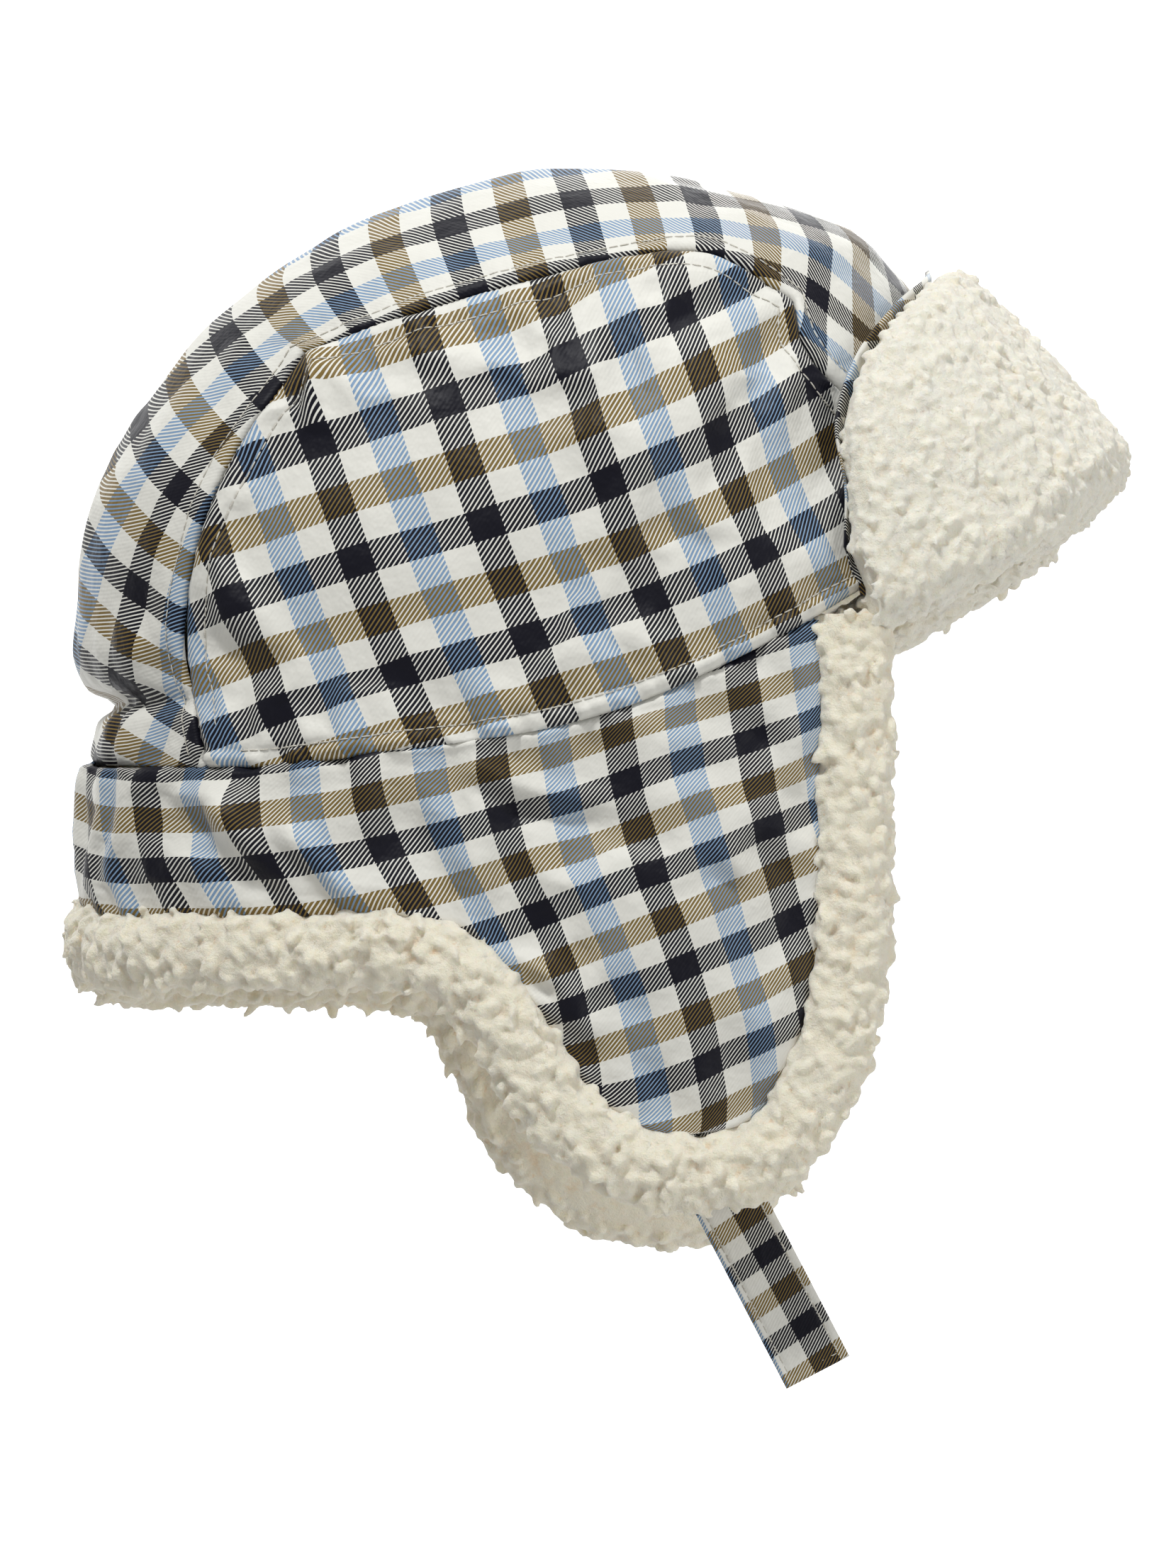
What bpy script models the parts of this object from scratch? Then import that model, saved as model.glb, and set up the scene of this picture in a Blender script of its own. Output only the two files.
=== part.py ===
"""Trapper hat: a padded check shell with a pile lining, a turned-up front flap, two earflaps
and a chin strap, as it sits on a head.

The hat is drawn from its right side, front towards +X, up +Z. Its outer surface is a stack of
ovals above and below a tilted brow-to-nape plane, and each layer of the wall lies at its own
depth under that surface. Outlines and sizes are in millimetres; MM turns them into metres
where a mesh is made. The origin is the middle of the head opening.
"""

import math

import bmesh
import bpy
import numpy as np

MM = 0.001

# Driving dimensions, millimetres and degrees.
HALF_WIDTH = 85.0  # outside half-width of the relaxed head opening
TILT = math.radians(16.7)  # rise of the brow-to-nape plane towards the front
OVAL_POWER = 2.2  # 2 is an ellipse, more is boxier
DOME_POWER = 2.6  # how late the crown's width draws in towards the top
EARFLAP_LEAN = 0.06  # share of the half-width lost 150 mm below the plane
WALL = [  # each layer's outer and inner depth under the surface
    ("shell", (0, 1.0), "check"),
    ("wadding", (1.5, 7.2), "wadding"),
    ("lining", (8.2, 17.0), "pile"),
]
LINING_OUTER, LINING_INNER = WALL[2][1]
SEAM_GAP = 0.9
FOLD_GAP = 1.8  # room on each side of the earflap's fold
CENTRE_BACK_GAP = 1.1  # each band stops this far from the middle
EDGE_GAP = 0.7
FLAP_STAND_OFF = 14.3  # outer face of the front flap above the crown
FOLD_HEIGHT = 9.0  # fixed part of the front flap above its folded edge
FLAP_LAYERS = [  # inner and outer face above the crown, and how far inside the free edge it stops
    ("shell", 0.8, 1.8, 0.0, "check"),
    ("wadding", 2.3, 5.5, 5.0, "wadding"),
    ("pile", 6.1, FLAP_STAND_OFF, 3.5, "pile"),
]
ROLL_WIDTH, ROLL_THICKNESS = 16.0, 18.0  # pile border below the shell's edge
STRAP_WIDTH, STRAP_THICKNESS, STRAP_LENGTH = 17.8, 2.4, 65.0
HOOK_TAPE = (13.0, 1.2, 27.0)  # width, thickness, length
HOOK_TAPE_END = 4.0  # from the tape to the strap's free end
TAPE_GAP = 0.3
STRAP_LEAN = math.radians(27.5)  # forward of vertical

# Side-view outlines as (forward, up).
RIDGE_NECK = [(-131, -97), (-135, -60), (-133, -38)]
RIDGE_BACK = [(-133, -38), (-130.5, -23), (-134, -8), (-135, 16), (-127, 40), (-104, 73)]
RIDGE_TOP = [(-104, 73), (-76, 94), (-33, 110), (-7, 113), (25, 110), (61, 98.5)]
RIDGE_FRONT = [(61, 98.5), (72, 88), (85, 71.5), (117, 37)]
RIDGE_BROW = [(117, 37), (127, 26)]
SEAM_BACK = [(-103, -40), (-108, -12), (-107, 8), (-99, 33), (-78, 65)]
SEAM_TOP = [(-78, 65), (-55, 73), (-24, 82), (5, 89), (25, 89.5), (45, 78)]
SEAM_FRONT = [(45, 78), (48, 65), (60, 52), (94, 24)]
SIDE_BASE_BACK = [(-103, -40), (-84, -40), (-56, -36.5), (-18, -31), (10, -22.5), (41, -7.6)]
BASE_SEAM = [(-133, -38), *SIDE_BASE_BACK, (52, -1.8)]
SIDE_BASE = [*SIDE_BASE_BACK, (65, 6.5), (94, 24)]
NECK_EDGE = [
    (-133, -73), (-107, -78), (-75, -78), (-55, -78), (-37, -83), (-22, -99), (-8, -121), (6, -131),
    (20, -134),
]  # fmt: skip
FRONT_EDGE = [(52, -1.8), (51.7, -43), (51, -84), (46, -110), (34, -130), (20, -134)]
EARFLAP_FOLD = [(-46, -101), (70, -50)]
EARFLAP_AXIS_Y = 85.0  # the fold's turning line, from the middle
FLAP_AXIS = (127.5, 0, 46.0)
STRAP_TOP = (20.7, -134.0)
STRAP_Y = -60.8

# The pile border as (distance out of the shell's edge, depth, thickness).
BORDER_PROFILE = [
    (0, 0, LINING_INNER - LINING_OUTER),
    (1.5, 0, 17.5),
    (9, 0, 18),
    (13.5, 2.5, 12.5),
    (ROLL_WIDTH, 7, 3),
]

# The front flap over the crown, as (angle round the hat from the nape, height over the plane).
FLAP_LOWER_EDGE = [(180, -7.5), (166, -8), (151, -11.5), (136, -17.5), (123, -23), (119, -23.5)]
FOLD_END, FLAP_END = 124.5, 125.5  # where the fold and the flap stop at the temples
FLAP_FREE_EDGE = [(180, 59), (166, 56.5), (151, 52), (136, 42), (125.5, 25), (120, 4)]

COLOURS = {
    "check": ((0.36, 0.37, 0.38), 0.45),
    "wadding": ((0.85, 0.85, 0.83), 0.9),
    "pile": ((0.86, 0.8, 0.69), 0.95),
    "elastic": ((0.8, 0.8, 0.78), 0.7),
    "tape": ((0.72, 0.69, 0.62), 0.85),
    "label": ((0.9, 0.9, 0.88), 0.6),
}


def clear_scene():
    for old in list(bpy.data.objects):
        bpy.data.objects.remove(old, do_unlink=True)


def spline(points, steps=24):
    """A smooth (Catmull-Rom) curve through the points."""
    points = np.array(points, float)
    ends = 2 * points[0] - points[1], 2 * points[-1] - points[-2]
    points = np.vstack([ends[0], points, ends[1]])
    t = (np.arange(steps) / steps)[:, None]
    runs = []
    for before, a, b, after in zip(points, points[1:], points[2:], points[3:]):
        cubic = 3 * a - before - 3 * b + after
        square = 2 * before - 5 * a + 4 * b - after
        runs.append(a + 0.5 * ((b - before) * t + square * t**2 + cubic * t**3))
    return np.vstack([*runs, points[-2:-1]])


def along(curve, fractions):
    """Points of a dense curve at these fractions of its length."""
    steps = np.linalg.norm(np.diff(curve, axis=0), axis=1)
    length = np.concatenate([[0], np.cumsum(steps)])
    wanted = np.asarray(fractions) * length[-1]
    return np.stack([np.interp(wanted, length, column) for column in curve.T], axis=-1)


def tilted(x, z):
    """Distance forward along the tilted plane, and height over it."""
    return x * math.cos(TILT) + z * math.sin(TILT), z * math.cos(TILT) - x * math.sin(TILT)


RIDGE = spline(RIDGE_NECK + RIDGE_BACK[1:] + RIDGE_TOP[1:] + RIDGE_FRONT[1:] + RIDGE_BROW[1:])
RIDGE_FORWARD, RIDGE_HEIGHT = tilted(RIDGE[:, 0], RIDGE[:, 1])
CROWN_TOP = int(np.argmax(RIDGE_HEIGHT))
CROWN_HEIGHT = float(RIDGE_HEIGHT[CROWN_TOP])


def oval(height):
    """The middle, half-length and half-width of the oval at this height."""
    back, front = slice(None, CROWN_TOP + 1), slice(None, CROWN_TOP - 1, -1)
    rear = np.interp(height, RIDGE_HEIGHT[back], RIDGE_FORWARD[back])
    fore = np.interp(height, RIDGE_HEIGHT[front], RIDGE_FORWARD[front])
    rise = np.clip(height, 0, None) / CROWN_HEIGHT
    drop = np.clip(-np.asarray(height), 0, None) / 150
    dome = np.sqrt(np.clip(1 - rise**DOME_POWER, 1e-6, None))
    width = HALF_WIDTH * dome * (1 - EARFLAP_LEAN * drop**2)
    return (rear + fore) / 2, np.maximum((fore - rear) / 2, 1e-3), width


def half_width_at(x, z):
    """How far out the hat's surface stands at this place of the side view."""
    forward, height = tilted(x, z)
    middle, length, width = oval(height)
    share = np.clip(np.abs((forward - middle) / length), 0, 1)
    return width * (1 - share**OVAL_POWER) ** (1 / OVAL_POWER)


def surface_at(angle, height):
    """The right-hand surface point at an angle round from the nape, in degrees."""
    middle, length, width = oval(height)
    turn = np.radians(angle)
    cosine = np.cos(turn)
    forward = middle - length * np.sign(cosine) * np.abs(cosine) ** (2 / OVAL_POWER)
    y = -width * np.abs(np.sin(turn)) ** (2 / OVAL_POWER)
    x = forward * math.cos(TILT) - height * math.sin(TILT)
    z = forward * math.sin(TILT) + height * math.cos(TILT)
    return np.stack([x, y, z], axis=-1)


def angle_at(points):
    """(angle, height) of side-view points; the inverse of surface_at."""
    points = np.asarray(points, float)
    forward, height = tilted(points[..., 0], points[..., 1])
    middle, length, _ = oval(height)
    share = np.clip((forward - middle) / length, -1, 1)
    cosine = -np.sign(share) * np.abs(share) ** (OVAL_POWER / 2)
    return np.stack([np.degrees(np.arccos(cosine)), height], axis=-1)


def oval_level(points):
    """Zero on the hat's outer surface, negative inside it."""
    forward, height = tilted(points[..., 0], points[..., 2])
    middle, length, width = oval(np.minimum(height, CROWN_HEIGHT - 0.3))
    lengthwise = np.abs((forward - middle) / length) ** OVAL_POWER
    return lengthwise + np.abs(points[..., 1] / width) ** OVAL_POWER - 1


def dome_normals(points):
    """Normals of the crown's top, where the ovals shrink to a point: ridge slope by dome slope."""
    forward, _ = tilted(points[..., 0], points[..., 2])
    upper = slice(len(RIDGE) // 4, len(RIDGE) * 3 // 4)
    slopes = np.gradient(RIDGE_HEIGHT[upper], RIDGE_FORWARD[upper])
    rise = -np.interp(forward, RIDGE_FORWARD[upper], slopes)
    across = 2 * CROWN_HEIGHT * points[..., 1] / (DOME_POWER * HALF_WIDTH**2)
    x = rise * math.cos(TILT) - math.sin(TILT)
    z = rise * math.sin(TILT) + math.cos(TILT)
    normals = np.stack([x, across, z], axis=-1)
    return normals / np.linalg.norm(normals, axis=-1, keepdims=True)


def normals_at(points):
    """Outward normals, from the slope of oval_level except close to the crown's top."""
    step = 0.5 * np.eye(3)
    slope = np.stack([oval_level(points + s) - oval_level(points - s) for s in step], axis=-1)
    slope /= np.linalg.norm(slope, axis=-1, keepdims=True) + 1e-9
    _, height = tilted(points[..., 0], points[..., 2])
    share = np.clip((height - CROWN_HEIGHT + 7) / 5, 0, 1)[..., None]
    normals = share * dome_normals(points) + (1 - share) * slope
    return normals / np.linalg.norm(normals, axis=-1, keepdims=True)


def offset(points, distance):
    """The points moved out of the surface, or into the wall where the distance is negative."""
    return points + normals_at(points) * np.asarray(distance)[..., None]


def blend_patch(bottom, right, top, left):
    """A four-sided patch between edges: bottom and top run one way, left and right the other."""
    s = np.linspace(0, 1, len(bottom))[:, None, None]
    t = np.linspace(0, 1, len(left))[None, :, None]
    ruled = (1 - t) * bottom[:, None] + t * top[:, None] + (1 - s) * left[None] + s * right[None]
    corners = (1 - t) * ((1 - s) * bottom[0] + s * bottom[-1]) + t * ((1 - s) * top[0] + s * top[-1])
    return ruled - corners


class Mesh:
    """Grids of points and their faces, gathered into one mesh."""

    def __init__(self):
        self.points, self.faces, self.weights = [], [], []

    def grid(self, points, weights=1.0):
        rows, columns = points.shape[:2]
        start = len(self.points)
        self.points += list(points.reshape(-1, 3))
        self.weights += list(np.broadcast_to(weights, (rows, columns)).reshape(-1))
        for i in range(rows - 1):
            for j in range(columns - 1):
                a = start + i * columns + j
                self.faces.append((a, a + 1, a + columns + 1, a + columns))
        return self


def material(kind, name):
    colour, roughness = COLOURS[kind]
    made = bpy.data.materials.new(name)
    made.use_nodes = True
    shader = made.node_tree.nodes["Principled BSDF"]
    shader.inputs["Base Color"].default_value = (*colour, 1)
    shader.inputs["Roughness"].default_value = roughness
    shader.inputs["Metallic"].default_value = 0.0
    return made


def add_object(name, data, kind, parent=None):
    made = bpy.data.objects.new(name, data)
    bpy.data.collections["trapper_hat"].objects.link(made)
    made.data.materials.append(material(kind, name))
    if parent:
        made.parent = parent
        made.matrix_parent_inverse = parent.matrix_world.inverted()
    return made


def cut(work, plane, keep_above):
    point, normal = plane
    geometry = work.verts[:] + work.edges[:] + work.faces[:]
    side = {"clear_inner": keep_above, "clear_outer": not keep_above}
    bmesh.ops.bisect_plane(work, geom=geometry, plane_co=point, plane_no=normal, **side)


def layer(name, grids, thickness, kind, side=1, plane=None, keep_above=True, parent=None):
    """A wall layer on the right (side 1) or left (-1): its inner face, thickened outwards."""
    work = bmesh.new()
    depth = work.verts.layers.deform.new()
    turn = np.array([1, side, 1]) * MM
    for point, weight in zip(grids.points, grids.weights):
        work.verts.new(point * turn)[depth][0] = float(weight)
    work.verts.ensure_lookup_table()
    for face in grids.faces:
        work.faces.new([work.verts[i] for i in face])
    bmesh.ops.remove_doubles(work, verts=work.verts, dist=0.00005)
    if plane:
        cut(work, plane, keep_above)
    bmesh.ops.recalc_face_normals(work, faces=work.faces)
    outward = 0.0
    for face in work.faces:
        centre = np.array(face.calc_center_median()) / MM
        outward += float(normals_at(centre) @ np.array(face.normal)) * face.calc_area()
    if outward < 0:
        bmesh.ops.reverse_faces(work, faces=work.faces)
    data = bpy.data.meshes.new(name)
    work.to_mesh(data)
    work.free()
    made = add_object(name, data, kind, parent)
    made.vertex_groups.new(name="thickness")
    solid = made.modifiers.new("Wall", "SOLIDIFY")
    solid.thickness = thickness * MM
    solid.offset = 1
    solid.vertex_group = "thickness"
    made.data.shade_smooth()
    return made


def sweep(name, sections, kind, parent=None):
    """A solid lofted through closed sections, each with the same number of points."""
    work = bmesh.new()
    loops = [[work.verts.new(point * MM) for point in section] for section in sections]
    for near, far in zip(loops, loops[1:]):
        for a, b, c, d in zip(near, near[1:] + near[:1], far[1:] + far[:1], far):
            work.faces.new((a, b, c, d))
    work.faces.new(loops[0])
    work.faces.new(loops[-1])
    bmesh.ops.recalc_face_normals(work, faces=work.faces)
    data = bpy.data.meshes.new(name)
    work.to_mesh(data)
    work.free()
    return add_object(name, data, kind, parent)


def pivot(name, place, turn_to=(0, 0, 0)):
    """An empty on a joint's axis, that carries the pieces which turn about it."""
    empty = bpy.data.objects.new(name, None)
    bpy.data.collections["trapper_hat"].objects.link(empty)
    empty.location = [value * MM for value in place]
    empty.rotation_euler = turn_to
    bpy.context.view_layer.update()
    return empty


# Crown: the centre panel runs from the nape over the top to the brow, between two side panels.

CENTRE_RUNS = [
    (spline(SEAM_BACK), spline(RIDGE_BACK)),
    (spline(SEAM_TOP), spline(RIDGE_TOP)),
    (spline(SEAM_FRONT), spline(RIDGE_FRONT)),
]


def centre_row(station, inset=SEAM_GAP / 2, cells=4, start=0.0):
    """Points across the centre panel, right seam to left. Station 0 to 3 runs from nape to brow."""
    run = min(int(station), 2)
    seam, ridge = (along(curve, station - run) for curve in CENTRE_RUNS[run])
    first = max(start, inset / np.linalg.norm(ridge - seam))
    share = 1 - (1 - first) * (1 - np.linspace(0, 1, 80)) ** 2
    flat = seam + share[:, None] * (ridge - seam)
    flat[-1] = ridge
    y = -half_width_at(flat[:, 0], flat[:, 1])
    y[-1] = 0
    half = along(np.stack([flat[:, 0], y, flat[:, 1]], axis=-1), np.linspace(0, 1, cells + 1))
    return np.vstack([half, half[-2::-1] * (1, -1, 1)])


def centre_grid(stations, depth, **options):
    points = np.stack([centre_row(station, **options) for station in stations])
    return Mesh().grid(offset(points, np.full(points.shape[:2], -depth)))


def side_grid(depth):
    """The side panel: straight-sided at the back and front, arched on top, seamed to the band below."""
    across, up = np.linspace(0, 1, 11), np.linspace(0, 1, 8)
    bottom, top = along(spline(SIDE_BASE), across), along(spline(SEAM_TOP), across)
    back, front = along(spline(SEAM_BACK), up), along(spline(SEAM_FRONT)[::-1], up)
    flat = blend_patch(bottom, front, top, back)
    middle = flat.mean(axis=(0, 1))
    flat = middle + (flat - middle) * (1 - SEAM_GAP / 80)
    points = np.stack([flat[..., 0], -half_width_at(flat[..., 0], flat[..., 1]), flat[..., 1]], axis=-1)
    return Mesh().grid(offset(points, np.full(points.shape[:2], -depth)))


def make_crown():
    whole = np.concatenate([np.linspace(0, 1, 8), np.linspace(1, 2, 8)[1:], np.linspace(2, 3, 5)[1:]])
    above_casing = np.concatenate([np.linspace(0.25, 1, 6), whole[whole > 1]])
    for part, (outer, inner), kind in WALL:
        stations = above_casing if part == "wadding" else whole
        layer(f"crown_center_{part}", centre_grid(stations, inner), inner - outer, kind)
        for word, side in (("right", 1), ("left", -1)):
            layer(f"crown_{word}_{part}", side_grid(inner), inner - outer, kind, side=side)


def make_nape_elastic():
    """The elastic lies in its casing, between the shell and the lining at the nape."""
    grid = centre_grid(np.linspace(0.035, 0.2, 3), 4.4, start=0.12)
    layer("nape_elastic", grid, 1.4, "elastic")


# Band: the neck curtain and the earflap of one side are one cloth below the base seam.


def band_edges():
    """The band's four edges as (angle, height), each with its points for the grid."""
    across, down = np.linspace(0, 1, 14), np.linspace(0, 1, 7)
    top = angle_at(np.array(BASE_SEAM) - (0, SEAM_GAP))
    bottom = angle_at(NECK_EDGE)
    top[0, 0] = bottom[0, 0] = 0
    front = angle_at(np.array(FRONT_EDGE) - (0, SEAM_GAP))
    bottom[-1] = front[-1]
    top[-1] = front[0]
    back = np.array([top[0], bottom[0]])
    return (
        along(spline(top), across),
        along(spline(front), down),
        along(spline(bottom), across),
        along(spline(back), down),
    )


def band_surface():
    """The band's surface points, the path round its edge and the way out at each point of it."""
    top, front, bottom, back = band_edges()
    flat = blend_patch(top, front, bottom, back)
    points = surface_at(flat[..., 0], flat[..., 1])
    points[0, :, 1] = 0
    border = np.vstack([points[:, -1], points[-1, -2::-1]])
    outwards = np.cross(normals_at(border), np.gradient(border, axis=0))
    outwards[0, 1] = 0
    outwards /= np.linalg.norm(outwards, axis=1, keepdims=True)
    if outwards[0, 2] > 0:
        outwards = -outwards
    return points, border, outwards


def seam_at_centre_back(points):
    """Keeps the right half clear of the left one."""
    points[..., 1] = np.minimum(points[..., 1], -CENTRE_BACK_GAP)
    return points


def band_sheet(depth):
    """The shell's or the wadding's grid, stopping just inside the pile border."""
    points, border, outwards = band_surface()
    inside = border - EDGE_GAP * outwards
    rows = points.shape[0]
    points[:, -1] = inside[:rows]
    points[-1, :] = inside[: rows - 2 : -1]
    points = offset(points, np.full(points.shape[:2], -depth))
    return Mesh().grid(seam_at_centre_back(points))


def band_lining():
    """The lining's inner face, with the border that rolls round the edge of the band."""
    depth = LINING_INNER
    points, border, outwards = band_surface()
    inner = offset(points, np.full(points.shape[:2], -depth))
    mesh = Mesh().grid(seam_at_centre_back(inner), (LINING_INNER - LINING_OUTER) / ROLL_THICKNESS)
    normals = normals_at(border)
    rows, weights = [], []
    for reach, lift, thickness in BORDER_PROFILE:
        rows.append(border + reach * outwards + (lift - depth) * normals)
        weights.append(thickness / ROLL_THICKNESS)
    roll = seam_at_centre_back(np.stack(rows, axis=1))
    return mesh.grid(roll, np.array(weights)[None, :])


def fold_plane(gap):
    """The plane through the earflap's fold, this far above it."""
    (x0, z0), (x1, z1) = EARFLAP_FOLD
    slope = math.atan2(z1 - z0, x1 - x0)
    normal = (-math.sin(slope), 0, math.cos(slope))
    return ((x0 + gap * normal[0]) * MM, 0, (z0 + gap * normal[2]) * MM), normal


def make_band():
    """Above the fold the band stays with the crown; below it is the earflap, which turns outwards."""
    (x0, z0), (x1, z1) = EARFLAP_FOLD
    slope = math.atan2(z1 - z0, x1 - x0)
    hinges = {}
    for word, side in (("right", 1), ("left", -1)):
        place = ((x0 + x1) / 2, -side * EARFLAP_AXIS_Y, (z0 + z1) / 2)
        hinge = pivot(f"earflap_{word}_hinge", place, (0, -slope, 0))
        hinges[word] = hinge
        for piece, above in ((f"band_{word}", True), (f"earflap_{word}", False)):
            options = {
                "side": side,
                "plane": fold_plane(FOLD_GAP if above else -FOLD_GAP),
                "keep_above": above,
                "parent": None if above else hinge,
            }
            for part, (outer, inner), kind in WALL[:2]:
                layer(f"{piece}_{part}", band_sheet(inner), inner - outer, kind, **options)
            layer(f"{piece}_lining", band_lining(), ROLL_THICKNESS, "pile", **options)
    return hinges


# Front flap: folded up over the crown, pile outwards; its folded edge stays under the brow.


def flap_edges(cells, first_angle):
    """Lower-edge and free-edge heights at angles from the right temple over the front to the left."""
    half = np.linspace(first_angle, 180, cells // 2 + 1)
    angles = np.concatenate([half, 360 - half[-2::-1]])
    folded = np.minimum(angles, 360 - angles)
    edges = []
    for outline in (FLAP_LOWER_EDGE, FLAP_FREE_EDGE):
        curve = spline(outline)[::-1]
        edges.append(np.interp(folded, curve[:, 0], curve[:, 1]))
    return angles, *edges


def brow_point(angle, height, stand_off):
    folded = min(angle, 360 - angle)
    point = surface_at(folded, height)
    if folded > 179.9:
        point[1] = 0
    point = offset(point, stand_off)
    return point if angle <= 180 else point * (1, -1, 1)


def make_forehead_fold():
    """The pile turns up under the brow from inside to outside. Profile points are (rise, stand-off)."""
    inner = -LINING_INNER
    profile = [
        (0, -9), (0, 7), (2.5, 12.5), (6.5, FLAP_STAND_OFF), (FOLD_HEIGHT, FLAP_STAND_OFF),
        (FOLD_HEIGHT, 0.8), (7.2, 0.8), (6.2, inner), (2.5, inner + 2),
    ]  # fmt: skip
    sections = []
    for angle, lower, _ in zip(*flap_edges(16, FOLD_END)):
        sections.append([brow_point(angle, lower + rise, away) for rise, away in profile])
    return sweep("forehead_fold", sections, "pile")


def flap_grid(stand_off, short=0.0, rows=6):
    """A layer of the flap above the fold; short is how far it stops inside the free edge."""
    columns = []
    for angle, lower, free in zip(*flap_edges(14, FLAP_END)):
        bottom = lower + FOLD_HEIGHT + 2 * SEAM_GAP
        top = max(free - short, bottom + 5)
        heights = np.linspace(bottom, top, rows)
        columns.append([brow_point(angle, height, stand_off) for height in heights])
    return Mesh().grid(np.array(columns))


def make_front_flap():
    """Check cloth against the crown, thin wadding, and pile facing forwards."""
    hinge = pivot("front_flap_hinge", FLAP_AXIS)
    for part, inner, outer, short, kind in FLAP_LAYERS:
        layer(f"front_flap_{part}", flap_grid(inner, short), outer - inner, kind, parent=hinge)


# Chin strap, its hook tape, and the loop patch it closes on.


def box(name, size, place, kind, turn, parent=None):
    """A box with its top edge's middle at place, hanging along its own -Z."""
    bpy.ops.mesh.primitive_cube_add(size=1)
    made = bpy.context.object
    made.name = name
    data = made.data
    width, depth, length = (value * MM for value in size)
    for vertex in data.vertices:
        vertex.co = (vertex.co.x * width, vertex.co.y * depth, (vertex.co.z - 0.5) * length)
    for collection in list(made.users_collection):
        collection.objects.unlink(made)
    bpy.data.collections["trapper_hat"].objects.link(made)
    made.location = [value * MM for value in place]
    made.rotation_euler = (0, turn, 0)
    made.data.materials.append(material(kind, name))
    rounding = made.modifiers.new("Rounded", "BEVEL")
    rounding.width = min(size) * 0.3 * MM
    rounding.segments = 1
    if parent:
        bpy.context.view_layer.update()
        made.parent = parent
        made.matrix_parent_inverse = parent.matrix_world.inverted()
    return made


def make_strap(earflap_hinge):
    """The strap is stitched inside the right earflap and swings inwards from its upper end."""
    top_x, top_z = STRAP_TOP
    hinge = pivot("strap_hinge", (top_x, STRAP_Y, top_z), (0, -STRAP_LEAN, 0))
    hinge.parent = earflap_hinge
    hinge.matrix_parent_inverse = earflap_hinge.matrix_world.inverted()
    bpy.context.view_layer.update()
    place = (top_x, STRAP_Y, top_z)
    size = (STRAP_WIDTH, STRAP_THICKNESS, STRAP_LENGTH)
    box("chin_strap", size, place, "check", -STRAP_LEAN, hinge)
    tape_y = STRAP_Y + STRAP_THICKNESS / 2 + TAPE_GAP + HOOK_TAPE[1] / 2
    down = STRAP_LENGTH - HOOK_TAPE_END - HOOK_TAPE[2]
    tape_place = (top_x + down * math.sin(STRAP_LEAN), tape_y, top_z - down * math.cos(STRAP_LEAN))
    box("strap_hook_tape", HOOK_TAPE, tape_place, "tape", -STRAP_LEAN, hinge)


def make_loop_patch(hinge):
    """The soft half of the fastening, sewn outside the left earflap above its tip."""
    across, down = np.linspace(8, 28, 4), np.linspace(-92, -122, 5)
    flat = np.stack(np.meshgrid(across, down, indexing="ij"), axis=-1)
    points = np.stack([flat[..., 0], -half_width_at(flat[..., 0], flat[..., 1]), flat[..., 1]], axis=-1)
    grid = Mesh().grid(offset(points, np.full(points.shape[:2], 0.5)))
    layer("flap_loop_patch", grid, 1.3, "tape", side=-1, parent=hinge)


def make_care_label():
    """A blank woven label that lies on the lining inside the nape."""
    grid = centre_grid(np.linspace(0.3, 0.58, 3), LINING_INNER + 1.2, cells=2, start=0.74)
    layer("care_label", grid, 0.5, "label")


def main():
    clear_scene()
    collection = bpy.data.collections.new("trapper_hat")
    bpy.context.scene.collection.children.link(collection)
    make_crown()
    make_nape_elastic()
    hinges = make_band()
    make_forehead_fold()
    make_front_flap()
    make_strap(hinges["right"])
    make_loop_patch(hinges["left"])
    make_care_label()


main()
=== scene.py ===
"""Looks for the trapper hat: check cloth, curly pile, stitching, floor, lights and camera.

Sizes are millimetres in the hat's own frame: front +X, up +Z, the wearer's right towards -Y.
MM turns them into metres where a mesh is made.
"""

import math

import bmesh
import bpy
import numpy as np
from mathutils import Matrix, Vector
from mathutils.kdtree import KDTree


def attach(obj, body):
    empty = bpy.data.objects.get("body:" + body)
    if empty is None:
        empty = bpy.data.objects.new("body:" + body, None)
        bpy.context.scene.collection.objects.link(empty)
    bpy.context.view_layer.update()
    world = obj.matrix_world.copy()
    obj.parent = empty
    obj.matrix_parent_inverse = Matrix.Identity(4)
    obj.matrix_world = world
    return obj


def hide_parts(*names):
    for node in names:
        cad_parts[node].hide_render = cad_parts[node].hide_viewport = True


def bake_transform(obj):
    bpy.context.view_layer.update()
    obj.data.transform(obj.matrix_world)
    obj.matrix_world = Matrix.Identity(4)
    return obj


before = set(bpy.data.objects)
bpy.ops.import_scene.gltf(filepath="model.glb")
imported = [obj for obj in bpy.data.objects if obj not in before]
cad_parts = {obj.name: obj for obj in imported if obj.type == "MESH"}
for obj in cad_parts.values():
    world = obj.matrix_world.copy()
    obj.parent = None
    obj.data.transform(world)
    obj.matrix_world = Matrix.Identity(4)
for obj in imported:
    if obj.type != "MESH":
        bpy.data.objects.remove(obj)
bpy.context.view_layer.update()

MM = 0.001

# The hat's outer surface: ovals stacked over and under a tilted brow-to-nape plane.
HALF_WIDTH = 85.0
TILT = math.radians(16.7)
OVAL_POWER = 2.2
DOME_POWER = 2.6
EARFLAP_LEAN, LEAN_REACH = 0.06, 150
CENTRE_BACK_GAP = 0.25
CENTRE_INSET = 0.06  # from the seam line to the centre panel's cloth
LEFT = np.array([1, -1, 1])  # turns a right-hand point into its left-hand twin

# The left earflap hangs lower and further back, the flap's left half sags: (from, to) and the shift.
EARFLAP_DROP, EARFLAP_SHIFT = (78, 128), (-4.5, 0.0, -8.0)
FLAP_SAG, FLAP_SHIFT = (0, 55), (-0.5, 0.0, -4.0)

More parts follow.
